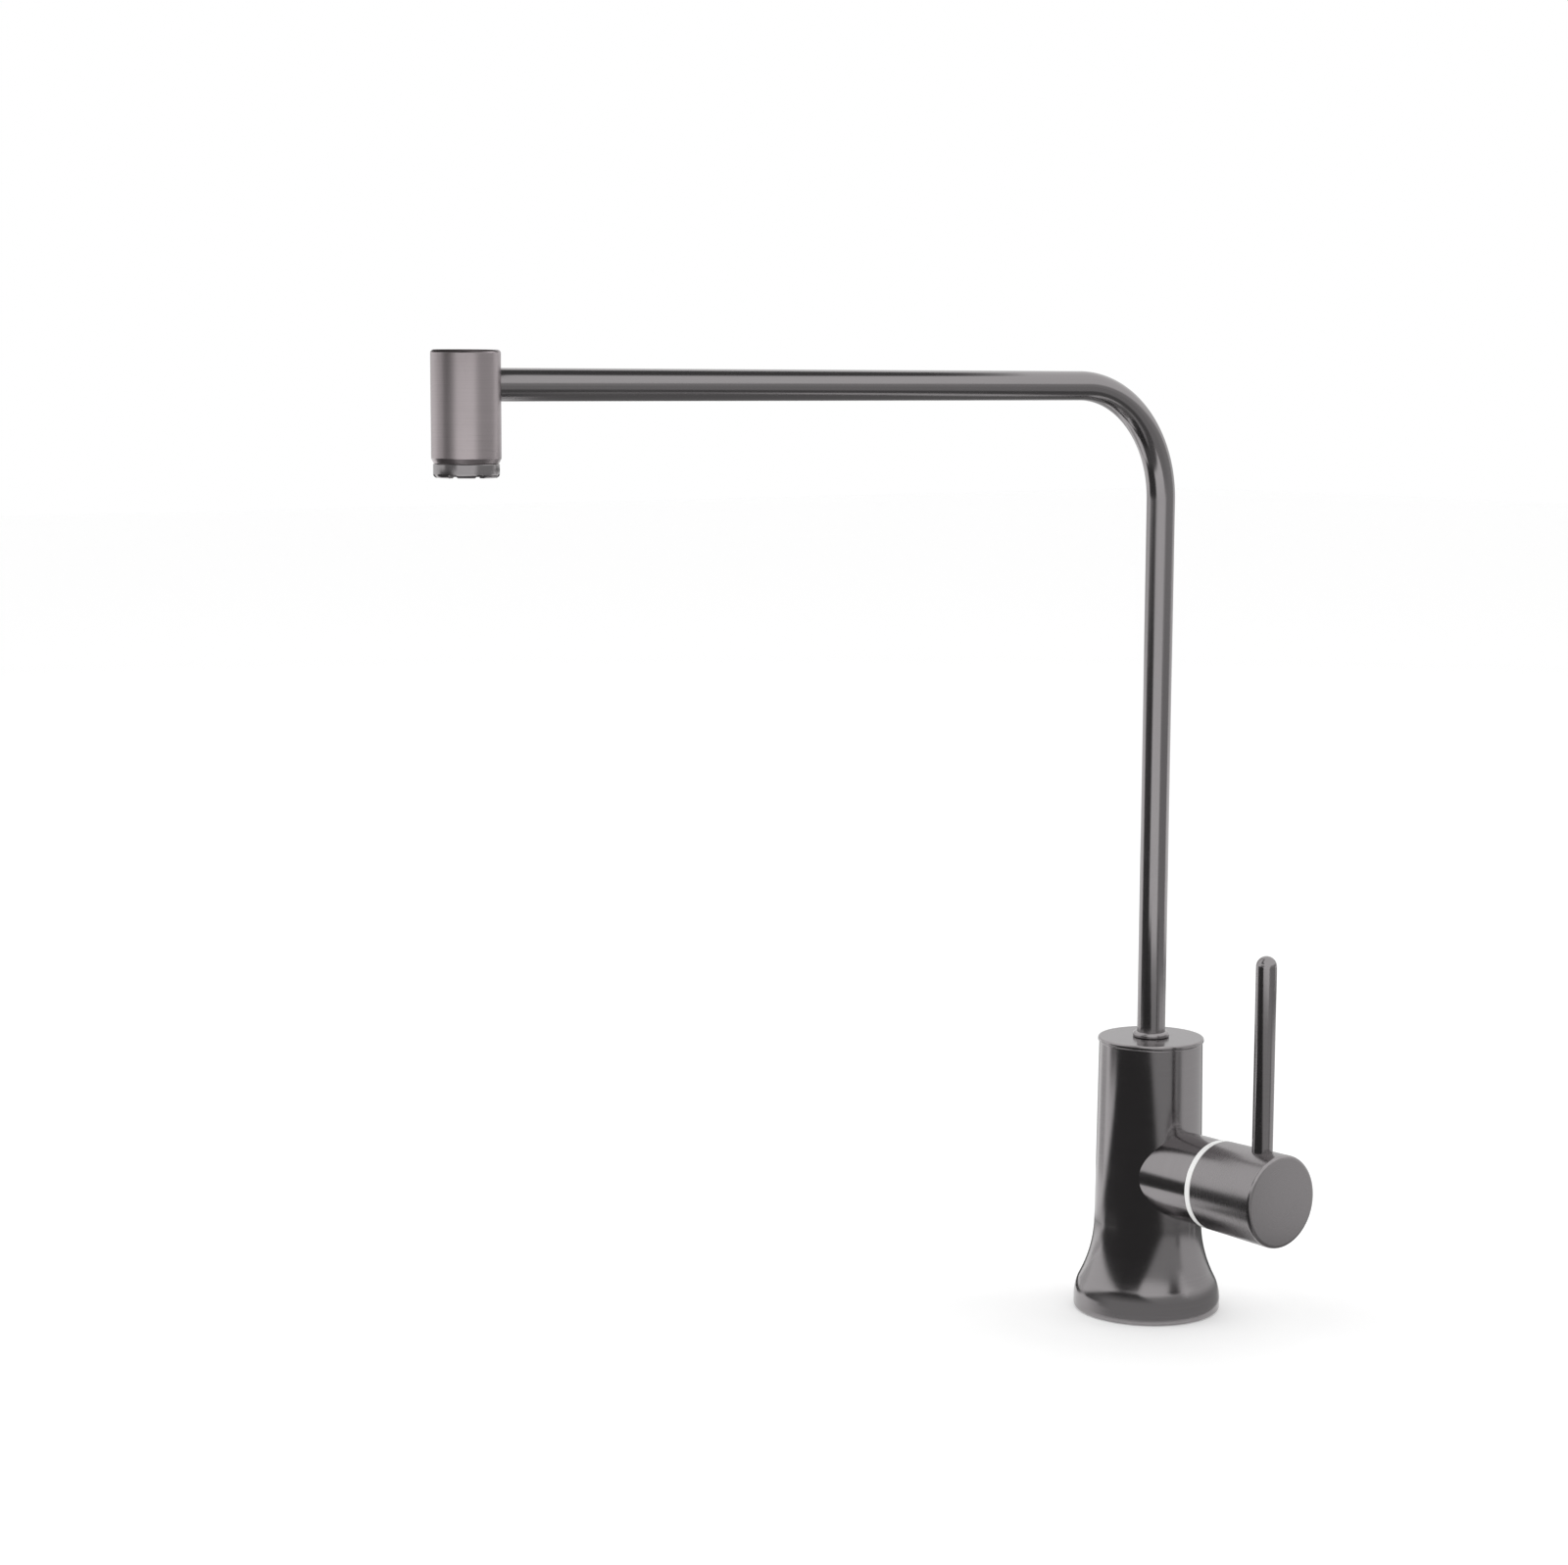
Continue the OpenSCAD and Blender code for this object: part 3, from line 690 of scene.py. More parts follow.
@dataclass(frozen=True)
class MouldedFinish:
    """A moulded plastic, rubber or fired ceramic with a fine skin."""

    slot: str
    colour: Triple
    roughness: float
    grain: float = 2600.0
    cloud_tone: float = 0.03
    skin_depth: float = 0.15
    skin_relief: float = 0.02 * MM
    skin_roughness: float = 0.08

    def material(self, name: str, seat: Seat | None) -> bpy.types.Material:
        """Makes the material for one piece.

        Args:
            name: Name of the material.
            seat: Axis and foot of the piece, which a moulded skin doesn't follow.

        Returns:
            The material.
        """
        material, sketch = new_material(name)
        place = sketch.add("ShaderNodeTexCoord").outputs["Object"]
        mould = sketch.group(Effect.MOULD_SKIN, {"Vector": place, "Grain": self.grain})
        tone = sketch.spread(mould["Clouds"], NOISE_SPAN)
        gloss = sketch.spread(mould["Skin"], NOISE_SPAN, about(self.roughness, self.skin_roughness))
        relief = sketch.add("ShaderNodeBump", {
            "Strength": self.skin_depth, "Distance": self.skin_relief, "Height": mould["Skin"]})
        sketch.show(sketch.add("ShaderNodeBsdfPrincipled", {
            "Base Color": varied(sketch, tone, self.colour, self.cloud_tone), "Roughness": gloss,
            "Normal": relief.outputs[0]}))
        return material


Finish = MetalFinish | MouldedFinish

DARK_PLATE = (0.30, 0.285, 0.29)
GUNMETAL = MetalFinish("gunmetal", DARK_PLATE, 0.16)
TURNED_GUNMETAL = MetalFinish("gunmetal", DARK_PLATE, 0.25, line_tone=0.02, line_depth=0.02)
SATIN_GUNMETAL = MetalFinish("satin_gunmetal", (0.44, 0.395, 0.405), 0.30, line_tone=0.06, line_depth=0.35)
WHITE_PLASTIC = MouldedFinish("white_plastic", (0.90, 0.90, 0.89), 0.28)
PALE_PLASTIC = MouldedFinish("pale_plastic", (0.80, 0.80, 0.76), 0.42)
BLACK_RUBBER = MouldedFinish("black_rubber", (0.03, 0.03, 0.03), 0.72, skin_depth=0.35, cloud_tone=0.2)
WHITE_CERAMIC = MouldedFinish("white_ceramic", (0.88, 0.86, 0.80), 0.22, grain=4200.0)
PLAIN_BRASS = MetalFinish("plain_brass", (0.72, 0.55, 0.26), 0.32, line_tone=0.07)
PLAIN_STEEL = MetalFinish("plain_steel", (0.60, 0.60, 0.62), 0.34, line_tone=0.06)


# The tap's sub-assemblies

@dataclass(frozen=True)
class Span:
    """The box of a CAD node, from its lowest corner to its highest."""

    low: Vector
    high: Vector

    @classmethod
    def of(cls, node: str) -> "Span":
        """The box of a named node."""
        return cls(*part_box(node))

    def middle(self, axis: int) -> float:
        """Middle of the box along an axis."""
        return (self.low[axis] + self.high[axis]) / 2

    def size(self, axis: int) -> float:
        """Length of the box along an axis."""
        return self.high[axis] - self.low[axis]


def node_span(node: str) -> Span:
    """A dataclass field that holds a node's box."""
    return field(default_factory=lambda: Span.of(node))


@dataclass
class Assembly:
    """A group of pieces that ride on one body."""

    body: str

    @staticmethod
    def coat(piece: bpy.types.Object, node: str, finish: Finish, seat: Seat | None) -> None:
        """Gives a piece its finish as its only material."""
        piece.data.materials.clear()
        piece.data.materials.append(finish.material(f"{node}_{finish.slot}", seat))

    def settle(self, piece: bpy.types.Object, node: str, finish: Finish, seat: Seat | None) -> None:
        """Puts a piece in its node's place and dresses it.

        Args:
            piece: The piece.
            node: The CAD node that it stands for.
            finish: Its finish.
            seat: Axis that the finish's lines go round, or None for a drawn tube.
        """
        self.coat(piece, node, finish, seat)
        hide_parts(node)
        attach(piece, self.body)
        log.info("%s: %d faces, %s", piece.name, len(piece.data.polygons), finish.slot)

    def place(self, surface: Surface, node: str, finish: Finish, seat: Seat | None) -> None:
        """Makes a piece of a surface and puts it in its node's place."""
        self.settle(surface.piece(f"{node}_shell"), node, finish, seat)

    def place_ring(
            self, corners: list[Triple], node: str, finish: Finish, seat: Seat, fineness: int,
            steps: int = ROUND_STEPS) -> None:
        """Turns a closed outline into a ring and puts it in its node's place.

        Args:
            corners: (radius, height, rounding) of each corner of the outline.
            node: The CAD node that it stands for.
            finish: Its finish.
            seat: Axis and foot of the ring.
            fineness: Number of stretches in each rounding.
            steps: Number of points round.
        """
        outline = supported(softened(corners, fineness), True)
        self.place(turned(outline, seat, True, steps), node, finish, seat)

    def dress(self, axis: TurnAxis, finishes: dict[str, Finish]) -> None:
        """Gives CAD nodes that keep their own shape their finishes.

        Args:
            axis: Axis that their lines go round.
            finishes: Finish by node.
        """
        for node, finish in finishes.items():
            span = Span.of(node)
            seat = Seat(axis, tuple(span.middle(along) for along in (X, Y, Z)))
            self.coat(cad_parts[node], node, finish, seat)
            log.info("%s: CAD shape, %s", node, finish.slot)


@dataclass
class Column(Assembly):
    """The turned column with its bell foot, and the cap that holds the spout down."""

    body: str = "column"
    shell: Span = node_span("body")
    cap: Span = node_span("top_cap")
    deck_seal: Span = node_span("deck_seal")
    boss: Span = node_span("valve_boss")
    spigot: Span = node_span("spout_spigot")
    rings: Span = node_span("spigot_o_rings")
    waist_radius: float = 18.3 * MM
    neck_radius: float = 17.6 * MM
    rim_height: float = 3.8 * MM
    rim_edge: float = 1.0 * MM
    shoulder_radius: float = 15 * MM
    flare_radius: float = 44 * MM
    seal_width: float = 2.6 * MM
    foot_land: float = 1.4 * MM
    foot_hollow: float = 13 * MM
    hollow_corner: float = 1.0 * MM
    inlet_radius: float = 7.2 * MM
    inlet_wall: float = 3.0 * MM
    inlet_depth: float = 16 * MM
    thread_pitch: float = 1.5 * MM
    thread_depth: float = 0.85 * MM
    thread_flank: float = 0.8
    thread_steps: int = 8
    thread_end: float = 0.1 * MM
    swivel_depth: float = 9.5 * MM
    loose: float = 0.2 * MM
    cap_edge: float = 0.7 * MM
    cap_hole: float = 4.95 * MM
    cap_lip: float = 0.7 * MM
    skirt_wall: float = 2.0 * MM

    def bell(self) -> np.ndarray:
        """The foot's flank: a shoulder arc that runs tangent into a hollow flare arc.

        The two arcs turn by the same angle, whose cosine is 1 - (foot - waist) / (shoulder + flare).

        Returns:
            Rows of (radius, height) from the rim to the waist.
        """
        foot = self.shell.high.x
        radii = self.shoulder_radius + self.flare_radius
        turn = math.degrees(math.acos(1 - (foot - self.waist_radius) / radii))
        waist_height = self.rim_height + radii * math.sin(math.radians(turn))
        shoulder_centre = (foot - self.shoulder_radius, self.rim_height)
        shoulder = arc(shoulder_centre, self.shoulder_radius, 0, turn, steps=16)
        flare_centre = (self.waist_radius + self.flare_radius, waist_height)
        flare = arc(flare_centre, self.flare_radius, 180 + turn, 180, steps=28)
        return np.concatenate((shoulder, flare[1:]))

    def underside(self) -> np.ndarray:
        """The foot's underside, with the inlet, a hollow and the groove for the deck seal.

        Returns:
            Rows of (radius, height) from the inlet's roof out to the rim.
        """
        seal = self.deck_seal.high.x + SEAT_GAP
        seal_in = seal - self.seal_width
        seal_up = self.deck_seal.high.z + SEAT_GAP
        hollow = seal_in - self.foot_land
        wall = self.inlet_radius + self.inlet_wall
        count = self.inlet_depth / self.thread_pitch * self.thread_steps
        threads = np.arange(0.5, 1 + count) / self.thread_steps * self.thread_pitch
        threads = threads[threads < self.inlet_depth - self.thread_end][::-1]
        bore = np.column_stack((np.full_like(threads, self.inlet_radius), threads))
        start = [(0, self.inlet_depth), (self.inlet_radius, self.inlet_depth)]
        land = softened([
            (self.inlet_radius + self.thread_depth, 0, 0), (wall, 0, EDGE_BREAK),
            (wall, self.foot_hollow, self.hollow_corner), (hollow, self.foot_hollow, self.hollow_corner),
            (hollow, 0, EDGE_BREAK), (seal_in, 0, EDGE_BREAK / 2),
            (seal_in, seal_up, 0), (seal, seal_up, 0), (seal, 0, EDGE_BREAK / 2),
            (self.shell.high.x - 2 * self.rim_edge, 0, 0)], steps=4)
        return np.concatenate((start, bore, land))

    def top(self) -> np.ndarray:
        """The column's top with the spout's socket.

        Returns:
            Rows of (radius, height) from the outer edge down to the middle of the socket's floor.
        """
        height = self.shell.high.z
        recess = self.spigot.high.x + self.loose
        socket = self.rings.high.x + SEAT_GAP
        floor = self.spigot.low.z - 2 * self.loose
        step = height - self.swivel_depth
        return softened([
            (self.neck_radius, height - 2 * EDGE_BREAK, 0), (self.neck_radius, height, EDGE_BREAK),
            (recess, height, EDGE_BREAK), (recess, step, 0), (socket, step, EDGE_BREAK), (socket, floor, 0),
            (0, floor, 0)], steps=4)

    def threaded(self, surface: Surface) -> Surface:
        """Cuts the inlet's thread: the bore grows by a wave of height / pitch less the share of a turn.

        Args:
            surface: The column's surface.

        Returns:
            The same surface with its thread.
        """
        across = surface.points[:, :Z]
        height = surface.points[:, Z]
        radius = np.linalg.norm(across, axis=1)
        below_roof = height < self.inlet_depth - self.thread_end / 2
        wall = below_roof & (np.abs(radius - self.inlet_radius) < MICRON)
        share = height / self.thread_pitch - np.arctan2(across[:, Y], across[:, X]) / FULL_TURN
        wave = np.clip(0.5 - self.thread_flank * np.cos(FULL_TURN * share), 0, 1)
        grown = 1 + np.where(wall, wave * self.thread_depth / self.inlet_radius, 0)
        surface.points[:, :Z] = across * grown[:, None]
        return surface

    def build_shell(self) -> None:
        """Builds the column and cuts the boss's seat into its side."""
        rim = arc((self.shell.high.x - self.rim_edge, self.rim_edge), self.rim_edge, -90, 0, steps=8)
        outline = supported(np.concatenate((self.underside(), rim, self.bell(), self.top())), False)
        shell = self.threaded(turned(outline, COLUMN_SEAT)).piece("body_shell")
        boss_seat = Seat(TurnAxis.VALVE, (self.boss.low.x, 0.0, self.boss.middle(Z)))
        boss_outline = rod(self.boss.size(Y) / 2, self.boss.size(X))
        cut(shell, turned(boss_outline, boss_seat).piece("boss_seat_cutter"))
        self.settle(shell, "body", GUNMETAL, COLUMN_SEAT)

    def build_cap(self) -> None:
        """Builds the cap: a disc with a threaded skirt and a hole for the tube."""
        radius = self.cap.high.x
        low = self.shell.high.z + SEAT_GAP
        skirt = self.spigot.high.x + self.loose - THREAD_GAP
        skirt_in = self.spigot.high.x - self.skirt_wall
        ceiling = self.cap.high.z - self.cap_lip
        self.place_ring([
            (skirt_in, self.cap.low.z, 0), (skirt, self.cap.low.z, 0), (skirt, low, 0),
            (radius, low, EDGE_BREAK), (radius, self.cap.high.z, self.cap_edge),
            (self.cap_hole, self.cap.high.z, EDGE_BREAK / 2), (self.cap_hole, ceiling, 0),
            (skirt_in, ceiling, 0)], "top_cap", GUNMETAL, COLUMN_SEAT, fineness=6)

    def build(self) -> None:
        """Builds and dresses all of the column."""
        self.build_shell()
        self.build_cap()
        self.dress(TurnAxis.UPRIGHT, {
            "deck_seal": BLACK_RUBBER, "spout_bush": PALE_PLASTIC, "thrust_washer": PALE_PLASTIC})


@dataclass
class Valve(Assembly):
    """The boss in the column's side, its white trim ring and the quarter-turn valve inside."""

    body: str = "column"
    boss: Span = node_span("valve_boss")
    ring: Span = node_span("trim_ring")
    housing: Span = node_span("cartridge_body")
    socket_wall: float = 1.8 * MM
    lip_wall: float = 1.3 * MM
    socket_depth: float = 8.0 * MM

    def seat(self) -> Seat:
        """The valve's axis."""
        return Seat(TurnAxis.VALVE, (0.0, 0.0, self.boss.middle(Z)))

    def build_boss(self) -> None:
        """Builds the boss: a sleeve with a socket for the valve's hexagon."""
        radius = self.boss.size(Y) / 2
        bore = self.housing.size(Y) / 2 + THREAD_GAP
        socket = radius - self.socket_wall
        step = self.boss.high.x - self.socket_depth
        self.place_ring([
            (bore, self.boss.low.x, 0), (radius, self.boss.low.x, 0), (radius, self.boss.high.x, EDGE_BREAK),
            (socket, self.boss.high.x, EDGE_BREAK / 2), (socket, step, 0),
            (bore, step, 0)], "valve_boss", GUNMETAL, self.seat(), fineness=5)

    def build_ring(self) -> None:
        """Builds the white ring with the lip that sits in the boss."""
        radius = self.ring.size(Y) / 2
        face = self.boss.high.x + SEAT_GAP
        lip = self.boss.size(Y) / 2 - self.socket_wall - SEAT_GAP
        bore = lip - self.lip_wall
        self.place_ring([
            (bore, self.ring.low.x, 0), (lip, self.ring.low.x, EDGE_BREAK / 2), (lip, face, 0),
            (radius, face, EDGE_BREAK), (radius, self.ring.high.x, EDGE_BREAK),
            (bore, self.ring.high.x, EDGE_BREAK)], "trim_ring", WHITE_PLASTIC, self.seat(), fineness=6)

    def build(self) -> None:
        """Builds and dresses all of the valve."""
        self.build_boss()
        self.build_ring()
        self.dress(TurnAxis.VALVE, {
            "cartridge_body": PLAIN_BRASS, "cartridge_o_ring": BLACK_RUBBER, "seat_seal": BLACK_RUBBER,
            "fixed_disc": WHITE_CERAMIC})


@dataclass
class Handle(Assembly):
    """The knob with its lever, and what turns with it inside."""

    body: str = "handle"
    knob: Span = node_span("knob")
    lever: Span = node_span("lever_pin")
    grub: Span = node_span("grub_screw")
    inner_radius: float = 15.1 * MM
    face_edge: float = 1.1 * MM
    wall: float = 3.6 * MM
    hollow: float = 5.5 * MM
    drill_start: float = 1.0 * MM
    stud_step: float = 0.75 * MM
    stud_length: float = 6.0 * MM

    def seat(self) -> Seat:
        """The knob's axis."""
        return Seat(TurnAxis.VALVE, (self.knob.low.x, 0.0, self.knob.middle(Z)))

    def build_knob(self) -> None:
        """Builds the knob: a slightly flared drum, hollow behind, with the hole for its grub screw below."""
        length = self.knob.size(X)
        radius = self.knob.size(Y) / 2
        hollow = self.inner_radius - self.wall
        outline = softened([
            (0, self.hollow, 0), (hollow, self.hollow, 0), (hollow, 0, EDGE_BREAK),
            (self.inner_radius, 0, EDGE_BREAK), (radius, length, self.face_edge), (0, length, 0)], steps=10)
        knob = turned(supported(outline, False), self.seat()).piece("knob_shell")
        drill_low = self.knob.low.z - self.drill_start
        hole = rod(self.grub.size(X) / 2 + THREAD_GAP, self.grub.high.z - drill_low)
        hole_seat = Seat(TurnAxis.UPRIGHT, (self.grub.middle(X), 0.0, drill_low))
        cut(knob, turned(hole, hole_seat, steps=48).piece("grub_hole_cutter"))
        self.settle(knob, "knob", TURNED_GUNMETAL, self.seat())

    def build_lever(self) -> None:
        """Builds the lever: a slim pin with a round tip and a stud in the knob."""
        radius = self.lever.size(X) / 2
        stud = radius - self.stud_step
        shoulder = self.lever.low.z + self.stud_length
        dome_foot = self.lever.high.z - radius
        shank = softened([
            (0, self.lever.low.z, 0), (stud, self.lever.low.z, EDGE_BREAK), (stud, shoulder, 0),
            (radius, shoulder, EDGE_BREAK), (radius, dome_foot - radius / 2, 0)], steps=4)
        dome = arc((0, dome_foot), radius, 0, 90, steps=20)
        dome[-1, 0] = 0
        outline = supported(np.concatenate((shank, dome)), False)
        seat = Seat(TurnAxis.UPRIGHT, (self.lever.middle(X), 0.0, 0.0))
        self.place(turned(outline, seat, steps=96), "lever_pin", GUNMETAL, seat)

    def build(self) -> None:
        """Builds and dresses all of the handle."""
        self.build_knob()
        self.build_lever()
        self.dress(TurnAxis.UPRIGHT, {"grub_screw": PLAIN_STEEL})
        self.dress(TurnAxis.VALVE, {
            "spindle": PLAIN_BRASS, "turning_disc": WHITE_CERAMIC, "spindle_o_ring": BLACK_RUBBER,
            "spindle_clip": PLAIN_STEEL})


@dataclass
class Spout(Assembly):
    """The swivelling spout: bent tube, collar, outlet head and aerator."""

    body: str = "spout"
    tube: Span = node_span("spout_tube")
    collar: Span = node_span("spout_collar")
    head: Span = node_span("outlet_head")
    aerator: Span = node_span("aerator_collar")
    bend_radius: float = 38 * MM
    tube_wall: float = 1.0 * MM
    tube_steps: int = 96
    bend_steps: int = 64
    straight_steps: int = 9
    collar_edge: float = 1.2 * MM
    head_edge: float = 1.0 * MM
    bevel_width: float = 0.7 * MM
    bevel_height: float = 1.4 * MM
    head_wall: float = 1.7 * MM
    chamber_radius: float = 5.5 * MM
    head_roof: float = 2.5 * MM
    thread_length: float = 7.14 * MM
    aerator_edge: float = 1.2 * MM
    aerator_seam: float = 0.1 * MM
    bore_wall: float = 1.2 * MM
    lip_width: float = 0.6 * MM
    lip_height: float = 1.4 * MM
    notch_count: int = 7
    notch_width: float = 2.6 * MM
    notch_height: float = 1.0 * MM
    notch_flank: float = 0.52 * MM
    notch_turn: float = 44.5

    def outlet(self, height: float) -> Seat:
        """The outlet's upright axis, from a height."""
        return Seat(TurnAxis.UPRIGHT, (0.0, self.head.middle(Y), height))

    def centreline(self) -> tuple[np.ndarray, np.ndarray]:
        """The tube's path: up the riser, round a quarter bend and out along the arm.

        At heading b, nought upwards and a quarter turn along the arm, the outer side of the bend points along
        (0, cos b, sin b), and the bend's line lies one bend radius that way from the bend's centre.

        Returns:
            The path's points and the outer side at each.
        """
        count = self.straight_steps
        bend = np.linspace(0, FULL_TURN / 4, self.bend_steps + 1)
        heading = np.pad(bend, count, mode="edge")
        side = np.column_stack((np.zeros_like(heading), np.cos(heading), np.sin(heading)))
        bend_low = self.tube.high.z - self.tube.high.x - self.bend_radius
        path = np.array((0, -self.bend_radius, bend_low)) + self.bend_radius * side
        path[:count, Z] = np.linspace(self.tube.low.z, bend_low, count + 1)[:-1]
        path[-count:, Y] = np.linspace(-self.bend_radius, self.tube.low.y, count + 1)[1:]
        return path, side

    def build_tube(self) -> None:
        """Builds the tube: a circle carried along the path outside, and back along it inside."""
        radius = self.tube.high.x
        path, side = (np.concatenate((line, line[::-1])) for line in self.centreline())
        bore = np.repeat((radius, radius - self.tube_wall), len(path) // 2)[:, None, None]
        angle = np.linspace(0, FULL_TURN, self.tube_steps, endpoint=False)
        level = np.cos(angle)[None, :, None] * np.array((1.0, 0, 0))
        upright = np.sin(angle)[None, :, None] * side[:, None]
        grid = path[:, None] + bore * (level + upright)
        length = np.concatenate(([0], np.cumsum(np.linalg.norm(np.diff(path, axis=0), axis=1))))
        drawn = np.stack(np.broadcast_arrays(np.cos(angle), np.sin(angle), length[:, None]), axis=-1)
        index = np.arange(grid[..., 0].size).reshape(grid.shape[:2])
        quads = joined_grid(index, True).reshape(-1, 4)
        no_triangles = np.empty((0, 3), int)
        surface = Surface(grid.reshape(-1, 3), quads, no_triangles, {"drawn": drawn.reshape(-1, 3)})
        self.place(surface, "spout_tube", GUNMETAL, None)

    def build_collar(self) -> None:
        """Builds the small collar where the tube leaves the cap."""
        bore = self.tube.high.x + SEAT_GAP
        radius = self.collar.high.x
        low, high = self.collar.low.z, self.collar.high.z
        self.place_ring([
            (bore, low, 0), (radius, low, EDGE_BREAK), (radius, high, self.collar_edge),
            (bore, high, EDGE_BREAK / 2)], "spout_collar", GUNMETAL, COLUMN_SEAT, fineness=8, steps=128)

    def build_head(self) -> None:
        """Builds the outlet head: an upright cylinder with a bevelled lower edge, open below."""
        seat = self.outlet(self.head.low.z)
        radius = self.head.high.x
        height = self.head.size(Z)
        thread = radius - self.head_wall
        roof = height - self.head_roof
        outline = softened([
            (0, roof, 0), (self.chamber_radius, roof, 0), (self.chamber_radius, self.thread_length, 0),
            (thread, self.thread_length, 0), (thread, 0, EDGE_BREAK / 2),
            (radius - self.bevel_width, 0, EDGE_BREAK / 2), (radius, self.bevel_height, EDGE_BREAK),
            (radius, height, self.head_edge), (0, height, 0)], steps=10)
        self.place(turned(supported(outline, False), seat, steps=160), "outlet_head", SATIN_GUNMETAL, seat)

    def notched(self, surface: Surface) -> Surface:
        """Lifts the collar's lower face to the notches' roofs: height = the greater of itself and the roof.

        The roof is the notch height times a smooth step, which falls from 1 to nought over the flank's width,
        with its middle half a notch width from the notch's middle.

        Args:
            surface: The collar's surface.

        Returns:
            The same surface with its notches.
        """
        across = surface.points[:, :Z] - np.array((0.0, self.head.middle(Y)))
        angle = np.arctan2(across[:, Y], across[:, X]) - math.radians(self.notch_turn)
        pitch = FULL_TURN / self.notch_count
        from_middle = np.abs((angle + pitch / 2) % pitch - pitch / 2) * self.aerator.high.x
        foot = (self.notch_width + self.notch_flank) / 2
        roof = self.aerator.low.z + self.notch_height * eased((foot - from_middle) / self.notch_flank)
        surface.points[:, Z] = np.maximum(surface.points[:, Z], roof)
        return surface

    def build_aerator(self) -> None:
        """Builds the notched aerator collar: a ring with an inner lip and a sleeve screwed into the head."""
        seat = self.outlet(self.aerator.low.z)
        radius = self.aerator.high.x
        height = self.aerator.size(Z)
        ring = self.head.low.z - self.aerator_seam - self.aerator.low.z
        socket = self.head.high.x - self.head_wall
        thread = socket - THREAD_GAP
        bore = socket - self.bore_wall
        lip = bore - self.lip_width
        outline = softened([
            (bore, self.lip_height, 0), (lip, self.lip_height, 0), (lip, 0, EDGE_BREAK),
            (radius, 0, self.aerator_edge), (radius, ring, EDGE_BREAK), (thread, ring, 0),
            (thread, height, EDGE_BREAK), (bore, height, 0)], steps=12)
        surface = self.notched(turned(outline, seat, looped=True, steps=360))
        self.place(surface, "aerator_collar", GUNMETAL, seat)

    def build(self) -> None:
        """Builds and dresses all of the spout."""
        self.build_tube()
        self.build_collar()
        self.build_head()
        self.build_aerator()
        self.dress(TurnAxis.UPRIGHT, {
            "spout_spigot": PLAIN_BRASS, "spigot_o_rings": BLACK_RUBBER, "aerator_seal": BLACK_RUBBER,
            "aerator_core": PALE_PLASTIC, "aerator_screen": PLAIN_STEEL})


# Studio

@dataclass(frozen=True)
class Card:
    """A studio card that only reflections show: a patch of a level ring, or of an upright wall.

    Bearings are degrees from the tap's side that faces the camera, and grow to the camera's right. A level
    card runs from near to far at one height, and a wall stands at one distance from low to high. Its sides
    close in by so many degrees towards the far or upper edge, as powers of the reach that bow gives. Softness
    is the share of its width, of its near or lower end and of its far or upper end over which it fades.
    """

    name: str
    tone: float
    bearings: Pair
    distances: Pair
    heights: Pair
    closing: Pair = (0.0, 0.0)
    bow: Pair = (1.0, 1.0)
    softness: Triple = (0.12, 0.1, 0.1)
    rows: int = 49
    columns: int = 97

    def shares(self) -> tuple[np.ndarray, np.ndarray]:
        """Shares of the reach, as a column, and of the sweep, as a row."""
        return np.linspace(0, 1, self.rows)[:, None], np.linspace(0, 1, self.columns)[None, :]

    def points(self) -> np.ndarray:
        """Bearing, distance and height on a grid of reach by sweep.

        A side's bearing moves in by its closing times reach to the power of its bow, and the distance grows
        with the square of the reach, which keeps the cells near the tap small.

        Returns:
            An array of the shape (rows, columns, 3).
        """
        reach, sweep = self.shares()
        left = self.bearings[0] + self.closing[0] * reach ** self.bow[0]
        right = self.bearings[1] - self.closing[1] * reach ** self.bow[1]
        distance = self.distances[0] + (self.distances[1] - self.distances[0]) * reach ** 2
        height = self.heights[0] + (self.heights[1] - self.heights[0]) * reach
        return np.stack(np.broadcast_arrays(left + (right - left) * sweep, distance, height), axis=-1)

    def cover(self) -> np.ndarray:
        """How much of the card shows: the product of smooth steps in from its edges.

        Returns:
            One value per grid point, in the shape (rows, columns).
        """
        reach, sweep = self.shares()
        shown = np.ones((self.rows, self.columns))
        for share, softness in zip((np.minimum(sweep, 1 - sweep), reach, 1 - reach), self.softness):
            if softness > 0:
                shown = shown * eased(share / softness)
        return shown

    def material(self) -> bpy.types.Material:
        """Makes the card's even tone, clear where its cover fades.

        Returns:
            The material.
        """
        material, sketch = new_material(f"{self.name}_tone")
        tone = sketch.add("ShaderNodeEmission", {"Color": opaque((self.tone,) * 3)})
        clear = sketch.add("ShaderNodeBsdfTransparent")
        sketch.show(sketch.add("ShaderNodeMixShader", {
            0: sketch.painted("cover"), 1: clear.outputs[0], 2: tone.outputs[0]}))
        return material


